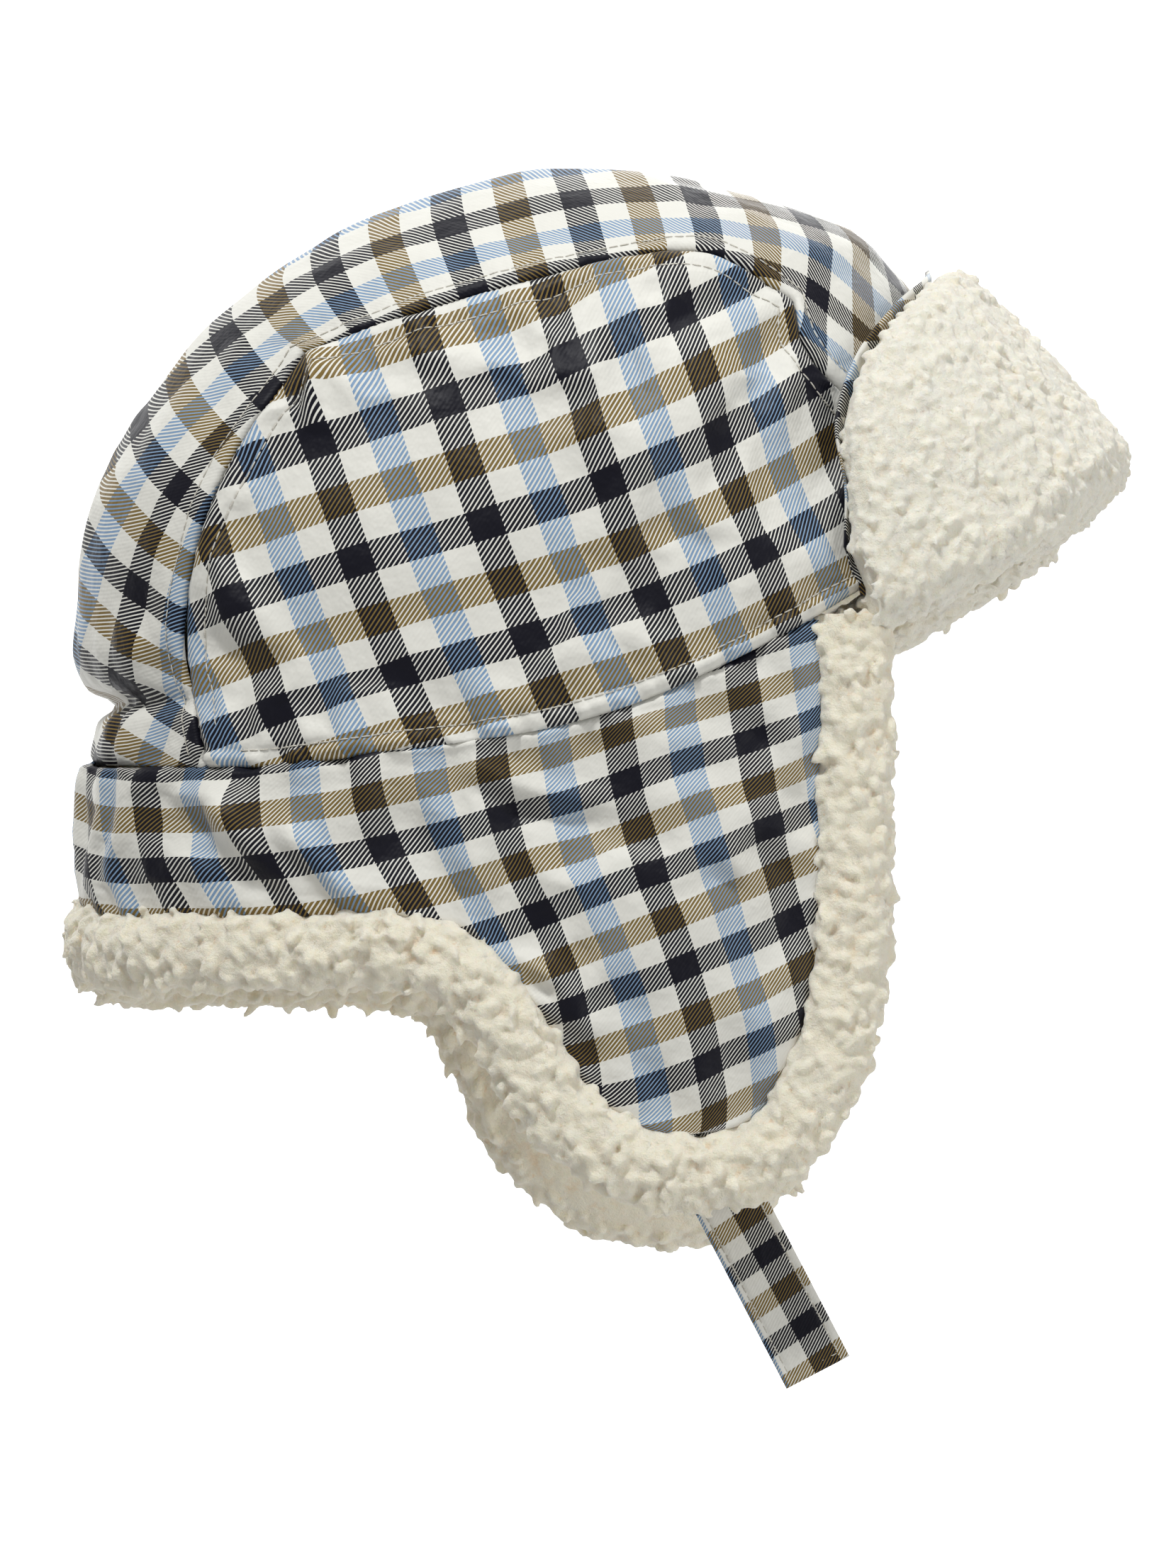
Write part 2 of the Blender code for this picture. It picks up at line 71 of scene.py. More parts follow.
CLOTH_THICKNESS = 0.9
LINING_DEPTHS = (-16.0, -8.6)  # inner and outer face of the pile sheet, from the hat's surface
CHECK_REPEAT = 32
DRAPE_FRAMES = 26
STITCH_LENGTH, STITCH_GAP, STITCH_RADIUS = 2.3, 0.55, 0.19
STITCH_SHAPE = [  # shares of the length, the width and the height
    (-0.5, 0.35, -0.25), (-0.42, 0.85, -0.05), (0, 1.0, 0.12), (0.42, 0.85, -0.05), (0.5, 0.35, -0.25),
]  # fmt: skip
TOPSTITCH_INSET = 5.2
BASE_CHANNEL = 4.7  # from the base seam up to its row of stitches
CASING_TOP, CASING_FOOT = -22.2, -38.5  # heights of the nape casing's two gathered lines

STRAP_LEAN = math.radians(27.5)
STRAP_TOP = np.array([20.7, -60.8, -134.0])
STRAP_WIDTH, STRAP_THICKNESS, STRAP_LENGTH = 17.8, 2.4, 65.0
STRAP_ROOT = 12.0  # sewn into the pile above the strap's turning line
ROOT_SLOPE = 0.75
STRAP_STITCH_INSET = 2.1
HOOKS_FROM, HOOKS_TO, HOOKS_HALF = 20.6, 47.4, 6.4
HOOK_TURNS = 4.2
PATCH_MIDDLE, PATCH_HALF = (18, -107), (10, 15)
STRAP_DOWN = np.array([math.sin(STRAP_LEAN), 0, -math.cos(STRAP_LEAN)])
STRAP_SIDE = np.array([math.cos(STRAP_LEAN), 0, math.sin(STRAP_LEAN)])
OUT_RIGHT = np.array([0.0, -1.0, 0.0])

# Pile: voxel size, locks as (spacing, length, radius, droop, flow), hairs as (length, radius).
PILE_GRAIN = 0.7
BORDER_LOCK = (2.6, 4.8, 1.5, 1.5, (-0.1, 0.0, -1.0))
FLAP_LOCK = (2.4, 3.8, 1.2, 1.6, (-0.3, 0.0, -1.0))
LOCK_TRIES = 30000
HAIR, HAIR_COUNT = (2.8, 0.07), 9000
# Lock rings as (share of the radius, lift); a low lift paints shade at the lock's root.
LOCK_STEPS = [(0.5, 0.2), (0.9, 0.5), (1.0, 0.75), (0.9, 0.9), (0.6, 1.0), (0.03, 1.0)]

# Side-view outlines as (forward, up).
RIDGE_NECK = [(-131, -97), (-135, -60), (-133, -38)]
RIDGE_BACK = [(-133, -38), (-130.5, -23), (-134, -8), (-135, 16), (-127, 40), (-104, 73)]
RIDGE_TOP = [(-104, 73), (-76, 94), (-33, 110), (-7, 113), (25, 110), (61, 98.5)]
RIDGE_FRONT = [(61, 98.5), (72, 88), (85, 71.5), (117, 37)]
RIDGE_BROW = [(117, 37), (127, 26)]
SEAM_BACK = [(-103, -40), (-108, -12), (-107, 8), (-99, 33), (-78, 65)]
SEAM_TOP = [(-78, 65), (-55, 73), (-24, 82), (5, 89), (25, 89.5), (45, 78)]
SEAM_FRONT = [(45, 78), (48, 65), (60, 52), (94, 24)]
BASE_SEAM = [
    (-133, -38), (-103, -40), (-84, -40), (-56, -36.5), (-18, -31), (10, -22.5), (41, -7.6), (52, -1.8),
]  # fmt: skip
SIDE_BASE = [
    (-103, -40), (-84, -40), (-56, -36.5), (-18, -31), (10, -22.5), (41, -7.6), (65, 6.5), (94, 24),
]  # fmt: skip
NECK_EDGE = [
    (-133, -73), (-107, -78), (-75, -78), (-55, -78), (-37, -83), (-22, -99), (-8, -121), (6, -131),
    (20, -134),
]  # fmt: skip
FRONT_EDGE = [(52, -1.8), (51.7, -43), (51, -84), (46, -110), (34, -130), (20, -134)]
FLAP_LOWER_EDGE = [(180, -7.5), (166, -8), (151, -11.5), (136, -17.5), (123, -23), (116, -23)]
FLAP_FREE_EDGE = [(180, 59), (166, 56.5), (151, 52), (136, 42), (125.5, 27), (120, 8), (116, -6)]


def spline(points, steps=24):
    """A smooth (Catmull-Rom) curve through the points."""
    points = np.array(points, float)
    ends = 2 * points[0] - points[1], 2 * points[-1] - points[-2]
    points = np.vstack([ends[0], points, ends[1]])
    t = (np.arange(steps) / steps)[:, None]
    runs = []
    for before, a, b, after in zip(points, points[1:], points[2:], points[3:]):
        cubic = 3 * a - before - 3 * b + after
        square = 2 * before - 5 * a + 4 * b - after
        runs.append(a + 0.5 * ((b - before) * t + square * t**2 + cubic * t**3))
    return np.vstack([*runs, points[-2:-1]])


def travelled(path):
    """How far along a path each of its points is."""
    steps = np.linalg.norm(np.diff(path, axis=0), axis=1)
    return np.concatenate([[0], np.cumsum(steps)])


def unit(ways, tiny=0.0):
    return ways / (np.linalg.norm(ways, axis=-1, keepdims=True) + tiny)


def along(curve, fractions):
    """Points of a dense curve at these fractions of its length."""
    length = travelled(curve)
    wanted = np.asarray(fractions) * length[-1]
    return np.stack([np.interp(wanted, length, column) for column in curve.T], axis=-1)


def tilted(x, z):
    """Distance forward along the tilted plane, and height over it."""
    return x * math.cos(TILT) + z * math.sin(TILT), z * math.cos(TILT) - x * math.sin(TILT)


RIDGE = spline(RIDGE_NECK + RIDGE_BACK[1:] + RIDGE_TOP[1:] + RIDGE_FRONT[1:] + RIDGE_BROW[1:])
RIDGE_FORWARD, RIDGE_HEIGHT = tilted(RIDGE[:, 0], RIDGE[:, 1])
CROWN_TOP = int(np.argmax(RIDGE_HEIGHT))
CROWN_HEIGHT = float(RIDGE_HEIGHT[CROWN_TOP])


def oval(height):
    """The middle, half-length and half-width of the oval at this height."""
    back, front = slice(None, CROWN_TOP + 1), slice(None, CROWN_TOP - 1, -1)
    rear = np.interp(height, RIDGE_HEIGHT[back], RIDGE_FORWARD[back])
    fore = np.interp(height, RIDGE_HEIGHT[front], RIDGE_FORWARD[front])
    rise = np.clip(height, 0, None) / CROWN_HEIGHT
    drop = np.clip(-np.asarray(height), 0, None) / LEAN_REACH
    dome = np.sqrt(np.clip(1 - rise**DOME_POWER, 1e-6, None))
    width = HALF_WIDTH * dome * (1 - EARFLAP_LEAN * drop**2)
    return (rear + fore) / 2, np.maximum((fore - rear) / 2, 1e-3), width


def half_width_at(x, z):
    """How far out the hat's surface stands at this place of the side view."""
    forward, height = tilted(x, z)
    middle, length, width = oval(height)
    share = np.clip(np.abs((forward - middle) / length), 0, 1)
    return width * (1 - share**OVAL_POWER) ** (1 / OVAL_POWER)


def surface_at(angle, height):
    """The right-hand surface point at an angle round from the nape, in degrees."""
    middle, length, width = oval(height)
    turn = np.radians(angle)
    cosine = np.cos(turn)
    forward = middle - length * np.sign(cosine) * np.abs(cosine) ** (2 / OVAL_POWER)
    y = -width * np.abs(np.sin(turn)) ** (2 / OVAL_POWER)
    x = forward * math.cos(TILT) - height * math.sin(TILT)
    z = forward * math.sin(TILT) + height * math.cos(TILT)
    return np.stack([x, y, z], axis=-1)


def angle_at(points):
    """(angle, height) of side-view points; the inverse of surface_at."""
    points = np.asarray(points, float)
    forward, height = tilted(points[..., 0], points[..., 1])
    middle, length, _ = oval(height)
    share = np.clip((forward - middle) / length, -1, 1)
    cosine = -np.sign(share) * np.abs(share) ** (OVAL_POWER / 2)
    return np.stack([np.degrees(np.arccos(cosine)), height], axis=-1)


def oval_level(points):
    """Zero on the hat's outer surface, negative inside it."""
    forward, height = tilted(points[..., 0], points[..., 2])
    middle, length, width = oval(np.minimum(height, CROWN_HEIGHT - 0.3))
    lengthwise = np.abs((forward - middle) / length) ** OVAL_POWER
    return lengthwise + np.abs(points[..., 1] / width) ** OVAL_POWER - 1


def dome_normals(points):
    """Normals of the crown's top, where the ovals shrink to a point: ridge slope by dome slope."""
    forward, _ = tilted(points[..., 0], points[..., 2])
    upper = slice(len(RIDGE) // 4, len(RIDGE) * 3 // 4)
    slopes = np.gradient(RIDGE_HEIGHT[upper], RIDGE_FORWARD[upper])
    rise = -np.interp(forward, RIDGE_FORWARD[upper], slopes)
    across = 2 * CROWN_HEIGHT * points[..., 1] / (DOME_POWER * HALF_WIDTH**2)
    x = rise * math.cos(TILT) - math.sin(TILT)
    z = rise * math.sin(TILT) + math.cos(TILT)
    return unit(np.stack([x, across, z], axis=-1))


def normals_at(points):
    """Outward normals, from the slope of oval_level except close to the crown's top."""
    step = 0.5 * np.eye(3)
    slope = [oval_level(points + s) - oval_level(points - s) for s in step]
    slope = unit(np.stack(slope, axis=-1), 1e-9)
    _, height = tilted(points[..., 0], points[..., 2])
    share = np.clip((height - CROWN_HEIGHT + 7) / 5, 0, 1)[..., None]
    return unit(share * dome_normals(points) + (1 - share) * slope)


def offset(points, distance):
    """The points moved out of the surface, or inwards where the distance is negative."""
    return points + normals_at(points) * np.asarray(distance)[..., None]


def blend_patch(bottom, right, top, left):
    """A four-sided patch between edges: bottom and top run one way, left and right the other."""
    s = np.linspace(0, 1, len(bottom))[:, None, None]
    t = np.linspace(0, 1, len(left))[None, :, None]
    ruled = (1 - t) * bottom[:, None] + t * top[:, None] + (1 - s) * left[None] + s * right[None]
    low, high = ((1 - s) * edge[0] + s * edge[-1] for edge in (bottom, top))
    return ruled - ((1 - t) * low + t * high)


# Noise, the same on every run.

LATTICE = np.random.default_rng(7).random((64, 64, 64))
JITTER = np.random.default_rng(8).random((32, 32, 32, 3))


def smooth_noise(points, size, seed=0):
    """Soft noise from -1 to 1, with lumps of about this size."""
    scaled = np.asarray(points, float) / size + seed * 17.3
    base = np.floor(scaled).astype(int)
    t = scaled - base
    t = t * t * (3 - 2 * t)
    total = 0.0
    for corner in np.ndindex(2, 2, 2):
        share = np.prod(np.where(corner, t, 1 - t), axis=-1)
        i, j, k = np.moveaxis((base + corner) % 64, -1, 0)
        total = total + share * LATTICE[i, j, k]
    return 2 * total - 1


def cell_noise(points, size, seed=0):
    """Distance to the nearest and to the second nearest of scattered points, in cells."""
    scaled = np.asarray(points, float) / size + seed * 11.7
    base = np.floor(scaled).astype(int)
    first = np.full(scaled.shape[:-1], 9.0)
    second = first.copy()
    for step in np.ndindex(3, 3, 3):
        cell = base + step - 1
        i, j, k = np.moveaxis(cell % 32, -1, 0)
        away = np.linalg.norm(cell + 0.15 + 0.7 * JITTER[i, j, k] - scaled, axis=-1)
        second = np.minimum(second, np.maximum(first, away))
        first = np.minimum(first, away)
    return first, second


def bump(distance, width):
    return np.exp(-((distance / width) ** 2))


def ease(value, start, end):
    t = np.clip((value - start) / (end - start), 0, 1)
    return t * t * (3 - 2 * t)


# Materials.


def srgb(red, green, blue):
    """A linear colour from display values of 0 to 255."""
    shares = np.array([red, green, blue]) / 255
    linear = np.where(shares <= 0.04045, shares / 12.92, ((shares + 0.055) / 1.055) ** 2.4)
    return (*(float(v) for v in linear), 1.0)


NAVY = srgb(15, 15, 26)
CREAM = srgb(222, 221, 213)
BLUE = srgb(124, 153, 184)
TAN = srgb(122, 101, 54)
PILE_TOP = srgb(252, 245, 227)
# Painted shade: the darker, warmer colour of the pile low between its curls and at the roots of its locks.
PILE_ROOT_SHADE = srgb(240, 226, 198)
BORDER_TOP = srgb(255, 244, 222)
# Painted shade: the darker, warmer colour of the border pile low between its curls and at the roots of its locks.
BORDER_ROOT_SHADE = srgb(246, 220, 184)
THREAD = srgb(205, 202, 192)
THREAD_DARK = srgb(176, 172, 160)
DARK_SPREAD = 0.15  # how much wider the darker thread shows
TWILL_EDGE = (0.44, 0.54)
LINES_ACROSS, LINES_ALONG = 21.0, 24.0  # twill lines in one repeat of the check
WEAVE_TURNS = 820.0
BAND_STARTS = (0.0, 0.25, 0.5, 0.75)


class Shading:
    """A Principled material and short ways to add its nodes."""

    def __init__(self, name, colour, roughness, **sockets):
        self.material = bpy.data.materials.new(name)
        self.material.use_nodes = True
        self.tree = self.material.node_tree
        self.shader = self.tree.nodes["Principled BSDF"]
        self.shader.inputs["Base Color"].default_value = colour
        self.shader.inputs["Roughness"].default_value = roughness
        for socket, value in sockets.items():
            self.shader.inputs[socket.replace("_", " ")].default_value = value

    def feed(self, made, inputs):
        for slot, source in inputs.items():
            if isinstance(source, bpy.types.NodeSocket):
                self.tree.links.new(source, made.inputs[slot])
            elif source is not None:
                made.inputs[slot].default_value = source

    def add(self, kind, inputs, **settings):
        made = self.tree.nodes.new(kind)
        for key, value in settings.items():
            setattr(made, key, value)
        self.feed(made, inputs)
        return made

    def math(self, operation, a, b=None, c=None):
        made = self.add("ShaderNodeMath", {0: a, 1: b, 2: c}, operation=operation)
        return made.outputs[0]

    def times(self, a, b):
        return self.math("MULTIPLY", a, b)

    def plus(self, a, b):
        return self.math("ADD", a, b)

    def ramp(self, value, stops, constant=False):
        made = self.add("ShaderNodeValToRGB", {0: value})
        elements = made.color_ramp.elements
        made.color_ramp.interpolation = "CONSTANT" if constant else "LINEAR"
        while len(elements) < len(stops):
            elements.new(1.0)
        for element, (place, colour) in zip(elements, stops):
            element.position = place
            element.color = colour
        return made.outputs[0]

    def mix(self, share, a, b, how="MIX"):
        made = self.add("ShaderNodeMix", {}, data_type="RGBA", blend_type=how)
        self.feed(made, {0: share, 6: a, 7: b})
        return made.outputs[2]

    def noise(self, place, scale, detail=2.0, roughness=0.5):
        inputs = {"Vector": place, "Scale": scale, "Detail": detail, "Roughness": roughness}
        return self.add("ShaderNodeTexNoise", inputs).outputs[0]

    def place(self):
        return self.add("ShaderNodeTexCoord", {}).outputs["Object"]

    def set_bump(self, height, strength):
        """Relief from a height in metres."""
        inputs = {"Height": height, "Strength": strength, "Distance": 1.0}
        made = self.add("ShaderNodeBump", inputs)
        self.feed(self.shader, {"Normal": made.outputs[0]})


def grey(value):
    return (value, value, value, 1.0)


def check_cloth(name):
    """Twilled check: four bands each way to a repeat, the two threads showing by turns."""
    look = Shading(name, CREAM, 0.42, Sheen_Weight=0.02, Specular_IOR_Level=0.17)
    where = look.add("ShaderNodeUVMap", {}, uv_map="cloth").outputs[0]
    split = look.add("ShaderNodeSeparateXYZ", {0: where})
    across, along_cloth = split.outputs[0], split.outputs[1]
    bands = []
    for value, accent in ((across, BLUE), (along_cloth, TAN)):
        turn = look.math("FRACT", look.plus(value, 0.125))
        stops = zip(BAND_STARTS, (NAVY, CREAM, accent, CREAM))
        bands.append(look.ramp(turn, list(stops), constant=True))
    lines = look.math("MULTIPLY_ADD", across, LINES_ACROSS, look.times(along_cloth, LINES_ALONG))
    height = look.times(look.math("PINGPONG", lines, 0.5), 2.0)
    light = [look.add("ShaderNodeRGBToBW", {0: band}).outputs[0] for band in bands]
    apart = look.math("DIVIDE", look.math("SUBTRACT", *light), look.math("MAXIMUM", *light))
    favoured = look.plus(height, look.times(apart, DARK_SPREAD))
    pick = look.ramp(favoured, [(TWILL_EDGE[0], grey(0)), (TWILL_EDGE[1], grey(1))])
    twill = look.mix(pick, bands[0], bands[1])
    waves = [look.math("SINE", look.times(value, WEAVE_TURNS)) for value in (across, along_cloth)]
    threads = look.times(*waves)
    grain = look.math("MULTIPLY_ADD", threads, 0.035, 0.985)
    place = look.place()
    patchy = look.ramp(look.noise(place, 60.0), [(0.3, grey(0.955)), (0.7, grey(1.0))])
    worn = look.mix(1.0, twill, patchy, "MULTIPLY")
    shade = look.add("ShaderNodeCombineColor", {0: grain, 1: grain, 2: grain}).outputs[0]
    colour = look.mix(1.0, worn, shade, "MULTIPLY")
    rough = look.ramp(look.noise(place, 180.0), [(0.3, grey(0.42)), (0.7, grey(0.53))])
    look.feed(look.shader, {"Base Color": colour, "Roughness": rough})
    ridges = look.times(height, 0.00006)
    creases = look.times(look.noise(place, 130.0, 3.0, 0.6), 0.0016)
    fine = look.times(threads, 0.00001)
    look.set_bump(look.plus(look.plus(ridges, creases), fine), 0.55)
    return look.material


def curly_pile(name, root_shade, top):
    """Cream pile: brighter at the tips, with painted shade, darker and warmer, low between the curls and at the roots
    of the locks; softly fibrous.
    """
    look = Shading(name, top, 0.95, Sheen_Weight=0.25, Sheen_Roughness=0.6, Specular_IOR_Level=0.1)
    look.shader.inputs["Subsurface Weight"].default_value = 0.5
    look.shader.inputs["Subsurface Radius"].default_value = (1.0, 0.8, 0.6)
    look.shader.inputs["Subsurface Scale"].default_value = 0.003
    place = look.place()
    lift = look.add("ShaderNodeAttribute", {}, attribute_name="pile_lift").outputs["Fac"]
    drift = look.noise(place, 45.0, 2.0)
    level = look.plus(lift, look.math("MULTIPLY_ADD", drift, 0.5, -0.25))
    # Painted shade: the lower a spot of the pile lies, the nearer its colour comes to the darker, warmer root shade.
    colour = look.ramp(level, [(0.0, root_shade), (0.6, top)])
    fibres = look.noise(place, 2200.0, 4.0, 0.7)
    flecks = look.ramp(fibres, [(0.3, grey(0.95)), (0.65, grey(1.0))])
    look.feed(look.shader, {"Base Color": look.mix(1.0, colour, flecks, "MULTIPLY")})
    curls = look.noise(place, 800.0, 3.0, 0.6)
    tufts = look.times(look.noise(place, 280.0, 2.0, 0.5), 0.0013)
    fine = look.plus(look.times(curls, 0.0011), look.times(fibres, 0.0008))
    look.set_bump(look.plus(tufts, fine), 0.8)
    return look.material


def sewing_thread(name):
    """Twisted cream thread."""
    look = Shading(name, THREAD, 0.6, Sheen_Weight=0.1)
    place = look.place()
    twist = look.noise(place, 2600.0, 2.0)
    look.feed(look.shader, {"Base Color": look.ramp(twist, [(0.3, THREAD_DARK), (0.7, THREAD)])})
    look.set_bump(look.times(twist, 0.0002), 0.4)
    return look.material


def woven_tape(name, colour, dark, scale=900.0, fuzz=0.0006):
    """Hook tape, loop tape, elastic or a label: a close weave in one colour."""
    look = Shading(name, colour, 0.8, Sheen_Weight=0.15)
    place = look.place()
    weave = look.noise(place, scale, 3.0, 0.6)
    look.feed(look.shader, {"Base Color": look.ramp(weave, [(0.3, dark), (0.65, colour)])})
    look.set_bump(look.times(weave, fuzz), 0.5)
    return look.material


# Meshes.


def add_object(name, data):
    made = bpy.data.objects.new(name, data)
    bpy.context.scene.collection.objects.link(made)
    return made


def mesh_object(name, points, faces, material, uv=None, lift=None):
    """A mesh from points in millimetres."""
    data = bpy.data.meshes.new(name)
    data.from_pydata((np.asarray(points) * MM).tolist(), [], faces)
    made = add_object(name, data)
    data.materials.append(material)
    if uv is not None:
        corner = np.empty(len(data.loops), np.int32)
        data.loops.foreach_get("vertex_index", corner)
        layer = data.uv_layers.new(name="cloth")
        layer.data.foreach_set("uv", np.asarray(uv)[corner].astype(np.float32).ravel())
    if lift is not None:
        attribute = data.attributes.new("pile_lift", "FLOAT", "POINT")
        attribute.data.foreach_set("value", np.asarray(lift, np.float32))
    face_outwards(data)
    data.shade_smooth()
    return made


def face_outwards(data):
    work = bmesh.new()
    work.from_mesh(data)
    bmesh.ops.recalc_face_normals(work, faces=work.faces)
    work.to_mesh(data)
    work.free()


def grid_faces(rows, columns, start=0, wrap=False):
    """Quads of a grid; wrap joins the last column to the first."""
    index = start + np.arange(rows * columns).reshape(rows, columns)
    if wrap:
        index = np.concatenate([index, index[:, :1]], axis=1)
    quads = np.stack([index[:-1, :-1], index[:-1, 1:], index[1:, 1:], index[1:, :-1]], axis=-1)
    return quads.reshape(-1, 4).tolist()


def slab(front, back):
    """A closed sheet between two grids of the same size."""
    rows, columns = front.shape[:2]
    count = rows * columns
    faces = grid_faces(rows, columns) + grid_faces(rows, columns, count)
    index = np.arange(count).reshape(rows, columns)
    ring = np.concatenate([index[0], index[1:, -1], index[-1, -2::-1], index[-2:0:-1, 0]])
    after = np.roll(ring, -1)
    faces += np.stack([ring, after, after + count, ring + count], axis=-1).tolist()
    return np.vstack([front.reshape(-1, 3), back.reshape(-1, 3)]), faces


def slab_object(name, front, back, material, uv=None):
    """A slab as an object, both its faces with the same fabric coordinates."""
    if uv is not None:
        uv = np.vstack([uv.reshape(-1, 2)] * 2)
    return mesh_object(name, *slab(front, back), material, uv=uv)


def grid_normals(points, like):
    """Normals of a displaced grid, on the same side as the given ones."""
    across = np.cross(np.gradient(points, axis=0), np.gradient(points, axis=1))
    normals = unit(across, 1e-12)
    sign = np.sign(np.sum(normals * like, axis=-1, keepdims=True))
    return np.where(sign == 0, like, normals * sign)


class Panel:
    """A cloth panel as a grid: base points, normals, displaced points and fabric coordinates."""

    def __init__(self, base, uv):
        self.base, self.uv = base, uv
        self.normals = normals_at(base)
        self.points = base

    def displace(self, amount, shift):
        self.points = self.base + shift + self.normals * amount[..., None]

    def mirrored(self):
        """The left-hand twin, its twill running the same way as seen from outside."""
        twin = object.__new__(Panel)
        twin.base, twin.normals, twin.points = self.base * LEFT, self.normals * LEFT, self.points * LEFT
        twin.uv = self.uv * (-1, 1) + (0.37, 0.0)
        return twin

    def cloth(self, name, material):
        inner = self.points - CLOTH_THICKNESS * grid_normals(self.points, self.normals)
        return slab_object(name, self.points, inner, material, self.uv)

    def settle(self, path, lift=0.0):
        """Points near the base surface, moved onto the displaced cloth, with the way out there."""
        flat, moved = self.base.reshape(-1, 3), self.points.reshape(-1, 3)
        facing = grid_normals(self.points, self.normals).reshape(-1, 3)
        tree = kd_tree(flat)
        placed, ways = [], []
        for point in path:
            found = tree.find_n(point.tolist(), 4)
            index = [i for _, i, _ in found]
            share = np.array([1 / (d + 0.05) for _, _, d in found])
            share /= share.sum()
            shift = (share[:, None] * (moved[index] - flat[index])).sum(axis=0)
            way = (share[:, None] * facing[index]).sum(axis=0)
            way /= np.linalg.norm(way)
            placed.append(point + shift + lift * way)
            ways.append(way)
        return np.array(placed), np.array(ways)


def spread(field, rows, columns):
    """A coarse field stretched smoothly over a finer grid."""
    for count, axis in ((rows, 0), (columns, 1)):
        places = np.linspace(0, field.shape[axis] - 1, count)
        low = np.clip(np.floor(places).astype(int), 0, field.shape[axis] - 2)
        share = places - low
        share = share * share * (3 - 2 * share)
        share = share.reshape([-1 if k == axis else 1 for k in range(3)])
        field = np.take(field, low, axis) * (1 - share) + np.take(field, low + 1, axis) * share
    for _ in range(3):
        field[1:-1] = (field[:-2] + 2 * field[1:-1] + field[2:]) / 4
        field[:, 1:-1] = (field[:, :-2] + 2 * field[:, 1:-1] + field[:, 2:]) / 4
    return field


def drape(panel, coarse, growth, pressure, seed, cap=3.2):
    """How a sewn panel buckles: a coarse copy, cut a little too large, settles in Cloth between
    its pinned seams. Returns the shift of each point of the fine grid, in millimetres."""
    rows, columns = panel.base.shape[:2]
    sizes = zip((rows, columns), coarse)
    picked = np.ix_(*[np.linspace(0, fine - 1, few).round().astype(int) for fine, few in sizes])
    start, ways = panel.base[picked], panel.normals[picked]
    wobble = 0.5 * smooth_noise(start, 9, seed + 50)
    points = start + ways * wobble[..., None]
    data = bpy.data.meshes.new("drape")
    data.from_pydata((points.reshape(-1, 3) * MM).tolist(), [], grid_faces(*coarse))
    piece = add_object("drape", data)
    if np.dot(np.array(data.polygons[0].normal), ways[0, 0]) < 0:
        data.flip_normals()
    pins = piece.vertex_groups.new(name="pins")
    border = np.flatnonzero(edge_fade(coarse) == 0)
    pins.add(border.tolist(), 1.0, "REPLACE")
    cloth = piece.modifiers.new("Cloth", "CLOTH")
    settings = cloth.settings
    settings.vertex_group_mass = "pins"
    settings.quality = 6
    settings.mass = 0.12
    settings.tension_stiffness = settings.compression_stiffness = 18
    settings.shear_stiffness = 6
    settings.bending_stiffness = 0.02
    settings.shrink_min = -growth
    settings.effector_weights.gravity = 0
    settings.use_pressure = True
    settings.uniform_pressure_force = pressure
    scene = bpy.context.scene
    cloth.point_cache.frame_start, cloth.point_cache.frame_end = 1, DRAPE_FRAMES
    for frame_number in range(1, DRAPE_FRAMES + 1):
        scene.frame_set(frame_number)
    evaluated = piece.evaluated_get(bpy.context.evaluated_depsgraph_get())
    settled = np.array([tuple(v.co) for v in evaluated.data.vertices]).reshape(*coarse, 3) / MM
    scene.frame_set(1)
    bpy.data.objects.remove(piece)
    bpy.data.meshes.remove(data)
    shift = np.nan_to_num(settled - start)
    far = np.linalg.norm(shift, axis=-1, keepdims=True)
    shift *= cap * np.tanh(far / cap) / np.maximum(far, 1e-6)
    shift *= edge_fade(coarse)[..., None]
    return spread(shift, rows, columns)


def edge_fade(shape):
    """1 over a coarse grid, 0 on its border."""
    fade = np.ones(shape)
    fade[0] = fade[-1] = 0
    fade[:, 0] = fade[:, -1] = 0
    return fade


def kd_tree(points):
    tree = KDTree(len(points))
    for i, point in enumerate(points.tolist()):
        tree.insert(point, i)
    tree.balance()
    return tree


def fit_fabric(anchors, sample, features):
    """Least-squares fabric coordinates from anchors (x, z, n, m)."""
    rows = np.array([features(*sample(x, z)) for x, z, _, _ in anchors])
    wanted = np.array([(n, m) for _, _, n, m in anchors], float)
    return np.linalg.lstsq(rows, wanted, rcond=None)[0]


# Stitching.


def stitches(paths, name, material):
    """Short raised stitches along (points, ways out) paths."""
    points, faces = [], []
    ring = np.array([(math.cos(a), math.sin(a)) for a in np.arange(6) * math.pi / 3])
    for path, ways in paths:
        far = travelled(path)
        count = int(far[-1] / (STITCH_LENGTH + STITCH_GAP))
        for centre in (np.arange(count) + 0.5) * (STITCH_LENGTH + STITCH_GAP):
            at = [centre + share * STITCH_LENGTH for share, _, _ in STITCH_SHAPE]
            middle = np.stack([np.interp(at, far, column) for column in path.T], axis=-1)
            out = np.array([np.interp(centre, far, column) for column in ways.T])
            heading = middle[-1] - middle[0]
            heading /= np.linalg.norm(heading) + 1e-9
            side = np.cross(heading, out)
            side /= np.linalg.norm(side) + 1e-9
            start = len(points)
            for spot, (_, wide, high) in zip(middle, STITCH_SHAPE):
                for c, s in ring:
                    bulge = wide * (c * side * 1.15 + s * out) + high * out
                    points.append(spot + STITCH_RADIUS * bulge)
            faces += grid_faces(len(STITCH_SHAPE), 6, start, wrap=True)
            faces.append(list(range(start, start + 6)))
            faces.append(list(range(start + 24, start + 30)))
    return mesh_object(name, np.array(points), faces, material)


# Crown cloth.

CENTRE_RUNS = [
    (spline(SEAM_BACK), spline(RIDGE_BACK)),
    (spline(SEAM_TOP), spline(RIDGE_TOP)),
    (spline(SEAM_FRONT), spline(RIDGE_FRONT)),
]
SIDE_SEAM = np.vstack([CENTRE_RUNS[0][0], CENTRE_RUNS[1][0], CENTRE_RUNS[2][0]])

